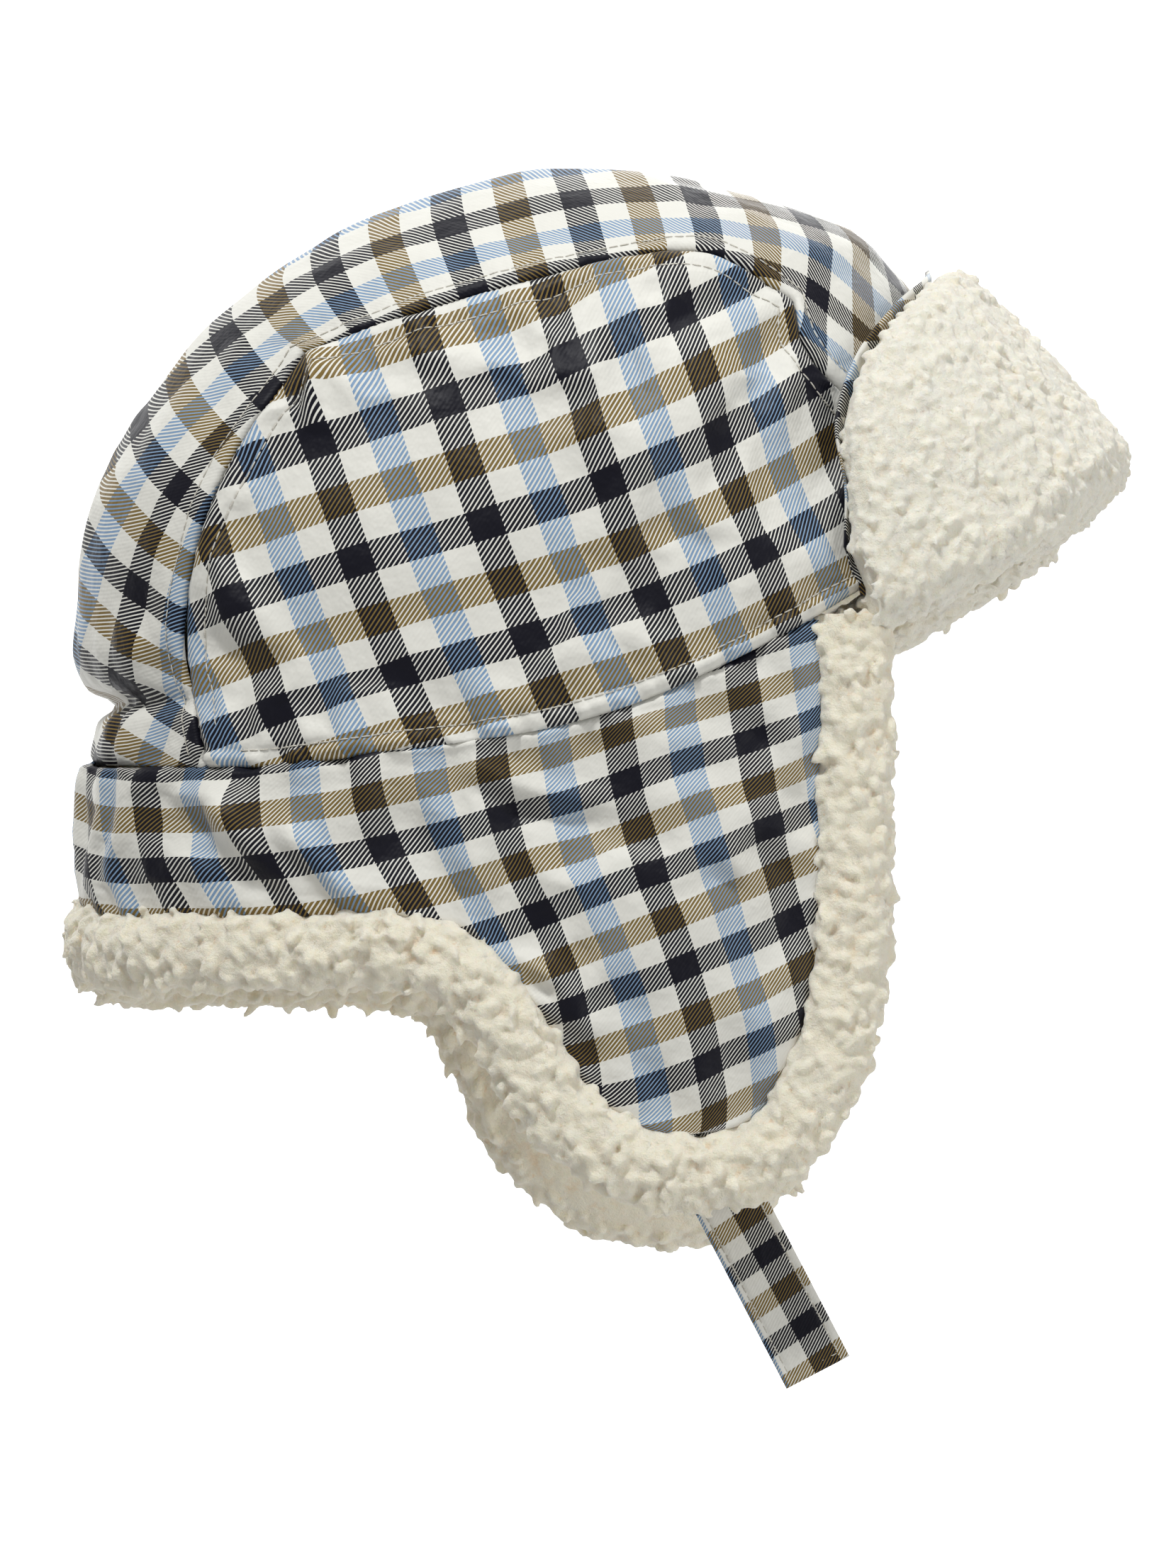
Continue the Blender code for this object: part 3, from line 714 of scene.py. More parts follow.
# Where navy crosses navy, as (forward, up, repeats across, repeats along the cloth). On the centre
# panel the second pair is (repeats outward from the ridge, repeats forward).
CENTRE_CHECK = [
    (-117.5, 46.7, 0, -3), (-98.1, 70, 0, -2), (-72.3, 87.6, 0, -1), (-42.1, 97.4, 0, 0),
    (-10.9, 104.7, 0, 1), (20.1, 103.8, 0, 2), (50, 100, 0, 3), (61.8, 96.7, 0, 3.5),
    (-121.2, 5.4, 1, -4), (-105.9, 30.7, 1, -3), (-87.3, 52.9, 1, -2), (-64, 68.4, 1, -1),
    (-4.7, 86.1, 1, 1), (25.3, 87, 1, 2), (51.6, 78.7, 1, 3), (61.8, 70.9, 1, 3.5),
    (-126.8, -7.3, 1, -4.5), (-124, -31, 1, -5.5), (-115, -34.9, 1.5, -5.5), (-116.3, -23.4, 1.5, -5),
    (-106.8, -32.7, 2, -5), (-109.6, -1.8, 1.5, -4), (-114, -12.6, 1.5, -4.5),
]  # fmt: skip
SIDE_CHECK = [
    (-33.9, 21.2, 0, 0), (27.4, 42.6, 2, 0), (36.4, 12.4, 2, 1), (48.9, 56.2, 3, 0), (59, 28.1, 3, 1),
    (-13.3, 61.6, 1, -1), (17.4, 73.8, 2, -1), (-2.6, 30.5, 1, 0), (7.3, 2, 1, 1), (-23.8, -7, 0, 1),
    (-44.4, 50.8, 0, -1), (-74.2, 42.8, -1, -1), (-84.8, -25, -2, 1), (-96.5, 1, -2, 0),
    (-64.3, 11.6, -1, 0), (-54, -18.6, -1, 1),
]  # fmt: skip
BAND_CHECK = [
    (-132.1, -63.2, -6, 0), (-113.1, -66.3, -5, 0), (-86.2, -65.1, -4, 0), (-56.7, -59.2, -3, 0),
    (-27.2, -50.8, -2, 0), (3.4, -45.9, -1, 0), (32.9, -34.5, 0, 0), (-18.5, -79.1, -2, 1),
    (7.5, -65.3, -1, 1), (37.1, -54.5, 0, 1), (-10.5, -101.7, -2, 2), (17.8, -91.8, -1, 2),
    (44.5, -79.4, 0, 2), (-6.1, -120.3, -2, 3), (22.4, -113.5, -1, 3), (36, -108.6, -0.5, 3),
    (-116.3, -39.6, -5, -1), (-94.7, -41.4, -4, -1), (-34.1, -82.5, -2.5, 1), (-88.7, -51.5, -4, -0.5),
    (-61.4, -49.6, -3, -0.5), (-32.5, -42.1, -2, -0.5), (-0.5, -33.5, -1, -0.5), (-51.5, -71.6, -3, 0.5),
    (-21.7, -66.3, -2, 0.5), (5, -54.5, -1, 0.5), (34.8, -45.2, 0, 0.5), (-15.5, -90.5, -2, 1.5),
    (11.9, -78.8, -1, 1.5), (39.8, -66.3, 0, 1.5), (-8, -112.3, -2, 2.5), (19.9, -100.4, -1, 2.5),
    (47.2, -91.2, 0, 2.5), (23.7, -127.8, -1, 3.5), (-82.5, -77.5, -4, 0.5), (-108, -77.9, -5, 0.5),
]  # fmt: skip

# Soft folds as (from, to, height, width), side view.
SIDE_FOLDS = [
    ((-78, 66), (-74, 47), 1.5, 2.6),
    ((-106, 10), (-88, -14), 0.9, 5.0),
    ((47, 72), (38, 40), 0.9, 4.5),
    ((62, 40), (52, 10), 1.0, 5.0),
    ((-60, -8), (-30, -22), 0.5, 6.0),
]
BAND_FOLDS = [
    ((-101, -43), (-79, -71), 2.1, 4.6),
    ((-85, -54), (-63, -77), 1.6, 4.0),
    ((-111, -42), (-97, -60), 1.2, 4.0),
    ((-38, -41), (0, -50), 1.4, 3.6),
    ((-35, -86), (-12, -95), 1.6, 3.0),
    ((-52, -44), (-30, -70), 0.8, 5.5),
    ((26, -58), (31, -72), 0.8, 3.0),
    ((-16, -104), (14, -112), 0.7, 4.5),
    ((51, -30), (30, -46), 0.7, 4.5),
]


def folds(flat, strokes):
    """Raised folds with a hollow along one side, fading at both ends."""
    total = np.zeros(flat.shape[:-1])
    for start, end, height, width in strokes:
        run = np.subtract(end, start)
        length = np.linalg.norm(run)
        run = run / length
        away = flat - start
        share = (away @ run) / length
        side = away @ np.array([-run[1], run[0]])
        side = side + 1.5 * np.sin(share * 4 + start[0])
        fade = ease(share, -0.15, 0.3) * (1 - ease(share, 0.6, 1.2))
        total += height * fade * (bump(side, width) - 0.7 * bump(side + 1.5 * width, width))
    return total


def distance_to(flat, curve):
    """Distance from each point to a dense curve, and where along the curve the nearest place is."""
    shape = flat.shape[:-1]
    points = flat.reshape(-1, flat.shape[-1])
    far = travelled(curve)
    nearest, place = [], []
    for some in np.array_split(points, max(1, len(points) // 2000)):
        apart = np.linalg.norm(some[:, None] - curve[None], axis=-1)
        index = apart.argmin(axis=1)
        nearest.append(apart[np.arange(len(some)), index])
        place.append(far[index])
    return np.concatenate(nearest).reshape(shape), np.concatenate(place).reshape(shape)


def ripple(place, size, seed, spread=0.0):
    """Irregular ripples along a seam, from -1 to 1."""
    line = np.stack([place, np.full_like(place, seed * 31.0) + spread, np.zeros_like(place)], axis=-1)
    return smooth_noise(line, size, seed)


def seam_relief(apart, place, seed):
    """Cloth beside a topstitched seam: sunk at the seam and the stitches, puckered, full beyond."""
    groove = -1.0 * bump(apart, 0.7)
    stitched = -0.45 * bump(apart - TOPSTITCH_INSET, 0.8) * (1 + 0.4 * ripple(place, 2.8, seed))
    ridge = 0.2 * bump(apart - 2.8, 1.6)
    pucker = 0.38 * ripple(place, 3.6, seed + 1) * np.exp(-apart / 6.0)
    pull = 0.6 * ripple(place, 12.0, seed + 2) * np.exp(-apart / 16)
    return groove + stitched + ridge + pucker + pull


def centre_half(station, cells):
    """Points from the right-hand seam up to the ridge at a station from 0 (nape) to 3 (brow)."""
    run = min(int(station), 2)
    seam, ridge = (along(curve, station - run) for curve in CENTRE_RUNS[run])
    first = CENTRE_INSET / np.linalg.norm(ridge - seam)
    share = 1 - (1 - first) * (1 - np.linspace(0, 1, 80)) ** 2
    flat = seam + share[:, None] * (ridge - seam)
    flat[-1] = ridge
    y = -half_width_at(flat[:, 0], flat[:, 1])
    y[-1] = 0
    return along(np.stack([flat[:, 0], y, flat[:, 1]], axis=-1), np.linspace(0, 1, cells + 1))


def centre_base(rows, cells):
    """The right half of the centre panel, its length along the ridge, and arc from the ridge."""
    stations = np.concatenate([np.linspace(0, 1, rows[0]), np.linspace(1, 2, rows[1])[1:]])
    stations = np.concatenate([stations, np.linspace(2, 3, rows[2])[1:]])
    half = np.stack([centre_half(station, cells) for station in stations])
    ridge = half[:, -1]
    length = travelled(ridge)
    steps = np.linalg.norm(np.diff(half, axis=1), axis=-1)[:, ::-1]
    arc = np.concatenate([np.zeros((len(half), 1)), np.cumsum(steps, axis=1)], axis=1)[:, ::-1]
    return half, np.repeat(length[:, None], cells + 1, axis=1), arc


def both_halves(right, turn=1):
    """A right-half grid, seam to ridge, continued to the left seam, times turn there."""
    return np.concatenate([right, right[:, -2::-1] * turn], axis=1)


def centre_features(length, arc):
    u, v = length / 150 - 1, arc / 60
    return np.stack([u**0, u, u**2, u**3, u**4, v, v**2, u * v, u * u * v], axis=-1)


def centre_panel():
    half, length, arc = centre_base((84, 118, 56), 40)
    flat = half[..., ::2].reshape(-1, 2)

    def sample(x, z):
        index = np.linalg.norm(flat - (x, z), axis=1).argmin()
        return length.reshape(-1)[index], arc.reshape(-1)[index]

    fit = fit_fabric(CENTRE_CHECK, sample, centre_features)
    outward, forward = np.moveaxis(centre_features(length, arc) @ fit, -1, 0)
    uv = np.stack([outward, -forward], axis=-1)
    left_uv = 2 * uv[:, -1:] - uv
    whole_uv = np.concatenate([uv, left_uv[:, -2::-1]], axis=1)
    points = both_halves(half, LEFT)
    from_seam = both_halves(arc[:, :1] - arc)
    place = both_halves(length)
    across = both_halves(-arc, -1)
    panel = Panel(points, whole_uv)
    side = np.sign(across) * 5
    relief = seam_relief(from_seam, place + 300 * side, 3)
    full = 0.2 * (1 - np.exp(-from_seam / 16))
    soft = 0.7 * smooth_noise(points, 38, 2) + 0.3 * smooth_noise(points, 15, 4)
    buckled = drape(panel, (100, 30), 0.025, 0.16, 1, cap=0.6)
    height = points[..., 2]
    casing = ease(height, -42, -36) * (1 - ease(height, -24, -20))
    gathers = ripple(across, 5.5, 11, 0.25 * height) + 0.6 * ripple(across, 11, 12, 0.1 * height)
    above = ease(height, -24, -18) * (1 - ease(height, -12, 12))
    centred = 0.45 + 0.55 * (1 - ease(np.abs(across), 20, 55))
    cinch = -5.2 * bump(height - CASING_TOP, 2.6) * centred - 1.3 * casing * centred
    lower = -2.2 * bump(height - CASING_FOOT, 2.0) * centred
    nape = cinch + lower + 1.5 * casing * gathers + 1.1 * above * gathers
    nape += 1.4 * bump(height + 9, 9) * centred
    front = ease(place, place.max() * 0.74, place.max() * 0.9)
    creases = front * (0.9 * smooth_noise(points * (1, 1, 0.5), 11, 6))
    fade_in = ease(from_seam, 0, 3)
    amount = relief + full + (soft + creases) * ease(from_seam, 0, 10) + nape * (0.35 + 0.65 * fade_in)
    panel.displace(amount, buckled)
    panel.from_seam = from_seam
    return panel


def side_flat(across_cells, up_cells, gap):
    across, up = np.linspace(0, 1, across_cells + 1), np.linspace(0, 1, up_cells + 1)
    bottom, top = along(spline(SIDE_BASE), across), along(spline(SEAM_TOP), across)
    back, front = along(spline(SEAM_BACK), up), along(spline(SEAM_FRONT)[::-1], up)
    flat = blend_patch(bottom, front, top, back)
    middle = flat.mean(axis=(0, 1))
    return middle + (flat - middle) * (1 - gap / 80)


def side_view_points(flat):
    return np.stack([flat[..., 0], -half_width_at(flat[..., 0], flat[..., 1]), flat[..., 1]], axis=-1)


def side_features(x, z):
    u, v = x / 80, z / 60
    return np.stack([u**0, u, u**2, u**3, v, v**2, u * v, u * u * v], axis=-1)


def side_panel():
    flat = side_flat(180, 130, 0.1)
    fit = fit_fabric(SIDE_CHECK, lambda x, z: (x, z), side_features)
    panel = Panel(side_view_points(flat), side_features(flat[..., 0], flat[..., 1]) @ fit)
    apart, place = distance_to(flat, SIDE_SEAM)
    low, base_place = distance_to(flat, spline(SIDE_BASE))
    full = 0.9 * (1 - np.exp(-np.minimum(apart, low + 3) / 15))
    channel = -0.9 * bump(low, 0.9) - 0.75 * bump(low - BASE_CHANNEL, 0.8)
    frill = 0.5 + 2.2 * ripple(base_place, 2.6, 21) + 0.9 * ripple(base_place, 5, 22)
    channel += frill * bump(low - 2.4, 1.9) + 0.8 * ripple(base_place, 4.5, 23) * np.exp(-low / 9)
    points = panel.base
    soft = 1.0 * smooth_noise(points, 42, 5) + 1.2 * smooth_noise(points, 17, 9)
    calm = ease(np.minimum(apart, low), 0, 9)
    free = (soft + 2.1 * folds(flat, SIDE_FOLDS)) * calm
    amount = seam_relief(apart, place, 31) + channel + full + free
    panel.displace(amount, drape(panel, (66, 46), 0.05, 0.12, 2))
    return panel


# Band and earflap: one cloth on each side, with the pile turned out round its edge.


def band_edges(across_cells, down_cells, gap):
    across, down = np.linspace(0, 1, across_cells + 1), np.linspace(0, 1, down_cells + 1)
    top = angle_at(np.array(BASE_SEAM) - (0, gap))
    bottom = angle_at(NECK_EDGE)
    top[0, 0] = bottom[0, 0] = 0
    front = angle_at(np.array(FRONT_EDGE) - (0, gap))
    bottom[-1] = front[-1]
    top[-1] = front[0]
    back = np.array([top[0], bottom[0]])
    edges = ((top, across), (front, down), (bottom, across), (back, down))
    return [along(spline(edge), shares) for edge, shares in edges]


def band_surface(across_cells, down_cells, gap=0.25):
    """The band's surface points, the path round its edge and the way out at each point of it."""
    flat = blend_patch(*band_edges(across_cells, down_cells, gap))
    points = surface_at(flat[..., 0], flat[..., 1])
    points[0, :, 1] = 0
    border = np.vstack([points[:, -1], points[-1, -2::-1]])
    outwards = np.cross(normals_at(border), np.gradient(border, axis=0))
    outwards[0, 1] = 0
    outwards = unit(outwards)
    if outwards[0, 2] > 0:
        outwards = -outwards
    return points, border, outwards


def right_of_centre(points):
    points[..., 1] = np.minimum(points[..., 1], -CENTRE_BACK_GAP)
    return points


def band_features(arc, z):
    u, v = arc / 100 - 1, z / 60 + 1
    return np.stack([u**0, u, u**2, u**3, v, v**2, u * v, u * u * v, u * v * v], axis=-1)


def band_panel():
    points, border, outwards = band_surface(150, 100, -1.6)
    rows = points.shape[0]
    inside = border - 0.35 * outwards
    points[:, -1] = inside[:rows]
    points[-1, :] = inside[: rows - 2 : -1]
    flat = points[..., ::2]
    steps = np.linalg.norm(np.diff(points, axis=0), axis=-1)
    arc = np.concatenate([np.zeros((1, points.shape[1])), np.cumsum(steps, axis=0)])

    def sample(x, z):
        index = np.linalg.norm(flat.reshape(-1, 2) - (x, z), axis=1).argmin()
        return arc.reshape(-1)[index], z

    fit = fit_fabric(BAND_CHECK, sample, band_features)
    panel = Panel(points, band_features(arc, flat[..., 1]) @ fit)
    low, base_place = distance_to(flat, spline(BASE_SEAM))
    edge, edge_place = distance_to(points, border)
    back = np.abs(points[..., 1])
    over_seam = flat[..., 1] - np.interp(flat[..., 0], *spline(BASE_SEAM).T)
    tucked = -2.0 * (1 - ease(over_seam, 0.6, -1.6))
    relief = tucked - bump(edge, 1.3) + 1.1 * (1 - np.exp(-np.minimum(edge, low + 2) / 10))
    relief += 1.3 * ripple(base_place, 5, 41) * np.exp(-low / 8)
    relief += 0.45 * ripple(edge_place, 9, 43) * np.exp(-edge / 9)
    nape = 1 - ease(arc, 32, 62)
    drift = 0.1 * flat[..., 1]
    gathers = ripple(arc, 6.0, 44, drift) + 0.5 * ripple(arc, 3.2, 45, drift)
    relief += 1.7 * nape * gathers * np.exp(-low / 12) + 1.2 * nape * bump(low - 5, 5)
    relief -= 1.0 * bump(back, 1.0)
    soft = 1.1 * smooth_noise(points, 40, 12) + 1.4 * smooth_noise(points, 15, 13)
    calm = ease(np.minimum(edge, low), 0, 8)
    buckled = drape(panel, (76, 42), 0.075, 0.12, 3)
    panel.displace(relief + (soft + 2.0 * folds(flat, BAND_FOLDS)) * calm, buckled)
    right_of_centre(panel.points)
    return panel


# Curly pile.


def curl_heights(points, size=3.4, seed=0):
    """Height of packed, rounded, slightly long curls from 0, between them, to 1."""
    warp = np.stack([smooth_noise(points, size * 2.2, seed + k) for k in range(3)], axis=-1)
    bent = points + 0.6 * size * warp
    lay = np.array([0.5, 0.0, 0.866])
    bent = bent - 0.45 * (bent @ lay)[..., None] * lay
    first, second = cell_noise(bent, size, seed)
    domes = np.sqrt(np.clip(1 - (first / 0.92) ** 2, 0, 1))
    clefts = ease(second - first, 0.0, 0.4)
    small, _ = cell_noise(bent + 0.3 * size, size * 0.45, seed + 3)
    return np.clip(0.62 * domes + 0.3 * clefts + 0.16 * (0.7 - small), 0, 1)


def read_all(items, key, columns=3, kind=np.float32):
    """One property of all vertices or faces, as rows."""
    values = np.empty(len(items) * columns, kind)
    items.foreach_get(key, values)
    return values.reshape(-1, columns)


def move_points(data, points):
    data.vertices.foreach_set("co", (points * MM).astype(np.float32).ravel())
    data.update()


def tube_quads(levels, around, count):
    """Quads of equal open tubes, each of so many rings of so many points."""
    quads = []
    for level in range(levels - 1):
        for k in range(around):
            a, b = level * around + k, level * around + (k + 1) % around
            quads.append((a, b, b + around, a + around))
    starts = levels * around * np.arange(count)
    return np.array(quads)[None] + starts[:, None, None]


def leaning(chance, ways, flow, scatter):
    """Ways to lean over a surface, scattered about the flow, and the ways sideways of them."""
    lean = np.array(flow) + scatter * chance.normal(size=ways.shape)
    lean -= ways * np.sum(lean * ways, axis=1, keepdims=True)
    lean = unit(lean, 1e-9)
    return lean, np.cross(ways, lean)


def fibres(centres, ways, seed, length, radius):
    """Short curved tapering hairs: points, quads and lift."""
    chance = np.random.default_rng(seed)
    count = len(centres)
    lean, side = leaning(chance, ways, (0, 0, -0.35), 1.0)
    reach = length * (0.55 + 0.7 * chance.random((count, 1)))
    tilt = 0.5 + 0.9 * chance.random((count, 1))
    curl = 0.9 + 1.3 * chance.random((count, 1))
    spine, thick = [], []
    here = centres - 0.5 * ways
    angle = tilt
    for share in (1.0, 0.8, 0.55, 0.22):
        spine.append(here)
        thick.append(radius * share)
        here = here + reach / 3 * (ways * np.cos(angle) + lean * np.sin(angle))
        angle = angle + curl / 3
    points = []
    for middle, wide in zip(spine, thick):
        for turn in (0, 2.094, 4.189):
            points.append(middle + wide * (math.cos(turn) * side + math.sin(turn) * ways))
    points = np.stack(points, axis=1).reshape(-1, 3)
    return points, tube_quads(4, 3, count), np.ones(len(points))


def locks(centres, ways, seed, length, radius, droop, flow):
    """Plump curved locks of pile, lying along the flow and each other: points, quads and lift."""
    chance = np.random.default_rng(seed)
    count = len(centres)
    lean, side = leaning(chance, ways, flow, 0.75)
    reach = length * (0.65 + 0.7 * chance.random((count, 1)))
    wide = radius * (0.75 + 0.5 * chance.random((count, 1)))
    angle = droop * (0.55 + 0.3 * chance.random((count, 1)))
    curl = droop * (0.45 + 0.5 * chance.random((count, 1)))
    here = centres - 0.6 * radius * ways
    points, lifts = [], []
    for share, lift in LOCK_STEPS:
        along_lock = ways * np.cos(angle) + lean * np.sin(angle)
        up = np.cross(along_lock, side)
        for turn in np.arange(6) * math.pi / 3:
            around = math.cos(turn) * side + 0.8 * math.sin(turn) * up
            points.append(here + wide * share * around)
            lifts.append(np.full(count, lift))
        here = here + reach / 5 * along_lock
        angle = angle + curl / 5
    points = np.stack(points, axis=1).reshape(-1, 3)
    return points, tube_quads(len(LOCK_STEPS), 6, count), np.stack(lifts, axis=1).reshape(-1)


def evenly(spots, spacing):
    """Indices of spots at most one to a small cell, so that they lie evenly."""
    cells = np.floor(spots / spacing).astype(np.int64)
    keys = (cells[:, 0] * 73856093) ^ (cells[:, 1] * 19349663) ^ (cells[:, 2] * 83492791)
    _, first = np.unique(keys, return_index=True)
    return np.sort(first)


def joined(skin, more):
    """A (points, quads, lifts) skin with another one added."""
    points, quads, lifts = skin
    quads = quads + (more[1] + len(points)).reshape(-1, 4).tolist()
    return np.vstack([points, more[0]]), quads, np.concatenate([lifts, more[2]])


def pile_object(name, parts, material, amount, size, seed, lock=None, shown=None, side=1):
    """Closed parts covered with curls, and locks and hairs on the faces that shown() picks.
    lock is (spacing, length, radius, droop, flow)."""
    points, faces = [], []
    for part_points, part_faces in parts:
        faces += [[i + len(points) for i in face] for face in part_faces]
        points += part_points.tolist()
    base = mesh_object(name + "_base", np.array(points) * (1, side, 1), faces, material)
    data = base.data
    points = read_all(data.vertices, "co") / MM
    ways = read_all(data.vertices, "normal").astype(float)
    lifts = curl_heights(points, size, seed)
    seen = shown(points, ways) if shown else 1.0
    points = points + ways * (amount * (lifts - 0.45) * seen)[:, None]
    move_points(data, points)
    skin = points, [list(face.vertices) for face in data.polygons], lifts
    if lock:
        areas = read_all(data.polygons, "area", 1, float)[:, 0]
        centres = read_all(data.polygons, "center", 3, float) / MM
        normals = read_all(data.polygons, "normal", 3, float)
        chance = np.random.default_rng(seed + 100)
        weight = areas * (shown(centres, normals) > 0.5)
        spacing, *form = lock
        picked = chance.choice(len(areas), LOCK_TRIES, p=weight / weight.sum())
        spots = centres[picked] + chance.normal(size=(LOCK_TRIES, 3)) * 0.3
        ways = normals[picked]
        kept = evenly(spots, spacing)
        skin = joined(skin, locks(spots[kept], ways[kept], seed + 200, *form))
        few = slice(0, HAIR_COUNT)
        hairs = fibres(spots[few], ways[few], seed + 300, *HAIR)
        skin = joined(matted(*skin, material), hairs)
    bpy.data.objects.remove(base)
    bpy.data.meshes.remove(data)
    points, quads, lifts = skin
    return mesh_object(name, points, quads, material, lift=lifts)


def matted(points, quads, lifts, material):
    """The curls and locks grown together into one soft skin."""
    rough = mesh_object("matted", points, quads, material)
    skin = rough.modifiers.new("Skin", "REMESH")
    skin.mode = "VOXEL"
    skin.voxel_size = PILE_GRAIN * MM
    soft = rough.modifiers.new("Soft", "SMOOTH")
    soft.factor = 0.5
    soft.iterations = 1
    made = rough.evaluated_get(bpy.context.evaluated_depsgraph_get()).to_mesh()
    fresh = read_all(made.vertices, "co") / MM
    faces = [list(face.vertices) for face in made.polygons]
    tree = kd_tree(points)
    near = [tree.find(point)[1] for point in fresh.tolist()]
    data = rough.data
    bpy.data.objects.remove(rough)
    bpy.data.meshes.remove(data)
    return fresh, faces, lifts[near]


def closed_sweep(sections):
    """Points and faces of a tube through closed sections, shape (sections, points, 3)."""
    count, around = sections.shape[:2]
    faces = grid_faces(count, around, wrap=True)
    last = (count - 1) * around
    faces += [list(range(around)), list(range(last, last + around))]
    return sections.reshape(-1, 3), faces


def pile_sheet(grid):
    """The inner and outer face of the lining behind a grid of surface points."""
    return [offset(grid, np.full(grid.shape[:2], depth)) for depth in LINING_DEPTHS]


def crown_pile_parts():
    half, _, _ = centre_base((46, 66, 32), 22)
    right = side_view_points(side_flat(62, 46, 0.4))
    grids = (both_halves(half, LEFT), right, right * LEFT)
    return [slab(*pile_sheet(grid)) for grid in grids]


BORDER_PROFILE = [
    (-4, -8.6), (-3, -16.2), (1.5, -16.6), (6, -15.8), (10.5, -13.2), (14.2, -9), (16.2, -4),
    (16.3, -0.5), (14.8, 2.0), (11.5, 3.6), (7.5, 4.0), (4, 3.2), (1.3, 1.6), (-0.2, -0.4), (-1.2, -2.4),
]  # fmt: skip


def band_pile_parts():
    points, border, outwards = band_surface(150, 90)
    normals = normals_at(border)
    spaced = along(np.hstack([border, outwards, normals]), np.linspace(0, 1, 400))
    profile = along(spline(BORDER_PROFILE + BORDER_PROFILE[:1], 6), np.linspace(0, 1, 65))[:-1]
    spot, out, way = spaced[:, None, :3], spaced[:, None, 3:6], spaced[:, None, 6:]
    roll = spot + profile[None, :, :1] * out + profile[None, :, 1:] * way
    lining = slab(*map(right_of_centre, pile_sheet(points[::2, ::2])))
    return [lining, closed_sweep(right_of_centre(roll))]


# Front flap.


def brow_points(angles, heights, stand_offs):
    """Points off the brow; angles run past 180 round the left-hand side."""
    folded = np.minimum(angles, 360 - angles)
    points = surface_at(folded, heights)
    points[..., 1] = np.where(folded > 179.9, 0, points[..., 1])
    points = offset(points, stand_offs)
    points[..., 1] *= np.where(angles <= 180, 1, -1)
    return points


def flap_edges(count, first_angle):
    half = np.linspace(first_angle, 180, count // 2 + 1)
    angles = np.concatenate([half, 360 - half[-2::-1]])
    folded = np.minimum(angles, 360 - angles)
    edges = []
    for outline in (FLAP_LOWER_EDGE, FLAP_FREE_EDGE):
        curve = spline(outline)[::-1]
        edges.append(np.interp(folded, curve[:, 0], curve[:, 1]))
    return angles, *edges


def flap_pile_parts():
    """Pile from inside the brow, round the fold and up the flap's outer face."""
    angles, lower, free = flap_edges(280, 117.5)
    sections = []
    for angle, low, high in zip(angles, lower, free):
        tall = max(high - low - 3.2, 16)
        profile = [
            (1.5, -15), (0.2, -9), (-0.4, -2), (0.2, 6), (2.2, 11), (6, 13.8), (10, 14.4),
            (tall * 0.6, 14.6), (tall - 5, 13.6), (tall - 1.6, 11.2), (tall, 7.6), (tall - 0.6, 4.4), (tall - 4, 2.8),
            (tall * 0.5, 2.6), (10, 2.4), (7.4, 1.2), (6.6, -6), (6.2, -14), (4, -16),
        ]  # fmt: skip
        profile = along(spline(profile + profile[:1], 6), np.linspace(0, 1, 171))[:-1]
        turn = np.full(len(profile), angle)
        sections.append(brow_points(turn, low + profile[:, 0], profile[:, 1]))
    return [closed_sweep(np.array(sections))]


def flap_cloth(material):
    """The flap's check cloth, lying against the crown, its edge showing beyond the pile."""
    angles, lower, free = flap_edges(150, 117.0)
    rise = np.linspace(0, 1, 44)[None, :]
    start = (lower + 8)[:, None]
    heights = start + rise * (free[:, None] - start)
    turns = np.repeat(angles[:, None], 44, axis=1)
    lip = ease(free[:, None] - heights, 7, 0)
    uneven = smooth_noise(np.stack([turns, heights, heights * 0], axis=-1), 14, 3)
    stand = 1.0 + 4.4 * lip + 0.5 * uneven * rise
    back = brow_points(turns, heights, stand)
    front = brow_points(turns, heights, stand + 1.1)
    far = np.repeat(travelled(front[:, -1])[:, None], 44, axis=1)
    uv = np.stack([far / CHECK_REPEAT, heights / CHECK_REPEAT], axis=-1)
    return slab_object("front_flap_cloth", front, back, material, uv)


# Strap and small parts.


def strap_points(down, side, out):
    spots = STRAP_TOP + down[..., None] * STRAP_DOWN + side[..., None] * STRAP_SIDE
    return spots + out[..., None] * OUT_RIGHT


def strap_grid(start, end, half, cells):
    """Places down and across the strap."""
    down, side = np.linspace(start, end, cells[0]), np.linspace(-half, half, cells[1])
    return np.meshgrid(down, side, indexing="ij")


def strap_cloth(material):
    half = STRAP_WIDTH / 2
    down, side = strap_grid(-STRAP_ROOT, STRAP_LENGTH, half, (140, 46))
    edge = np.minimum(half - np.abs(side), STRAP_LENGTH - down)
    round_off = np.sqrt(np.clip(1 - (1 - np.clip(edge / 1.1, 0, 1)) ** 2, 0, 1))
    thick = STRAP_THICKNESS / 2 * (0.25 + 0.75 * round_off)
    stitched = 0.28 * bump(edge - STRAP_STITCH_INSET, 0.6)
    place = np.stack([down, side, down * 0], axis=-1)
    wave = 0.18 * smooth_noise(place, 6, 5) + 0.35 * smooth_noise(place, 22, 6)
    wave = wave + ROOT_SLOPE * np.maximum(0, -down)
    front = strap_points(down, side, thick - stitched + wave)
    back = strap_points(down, side, wave - thick + stitched)
    uv = np.stack([(side - 2.9) / 29.0, (down - 12.6 + 0.12 * side) / 20.2], axis=-1)
    return slab_object("chin_strap_cloth", front, back, material, uv)


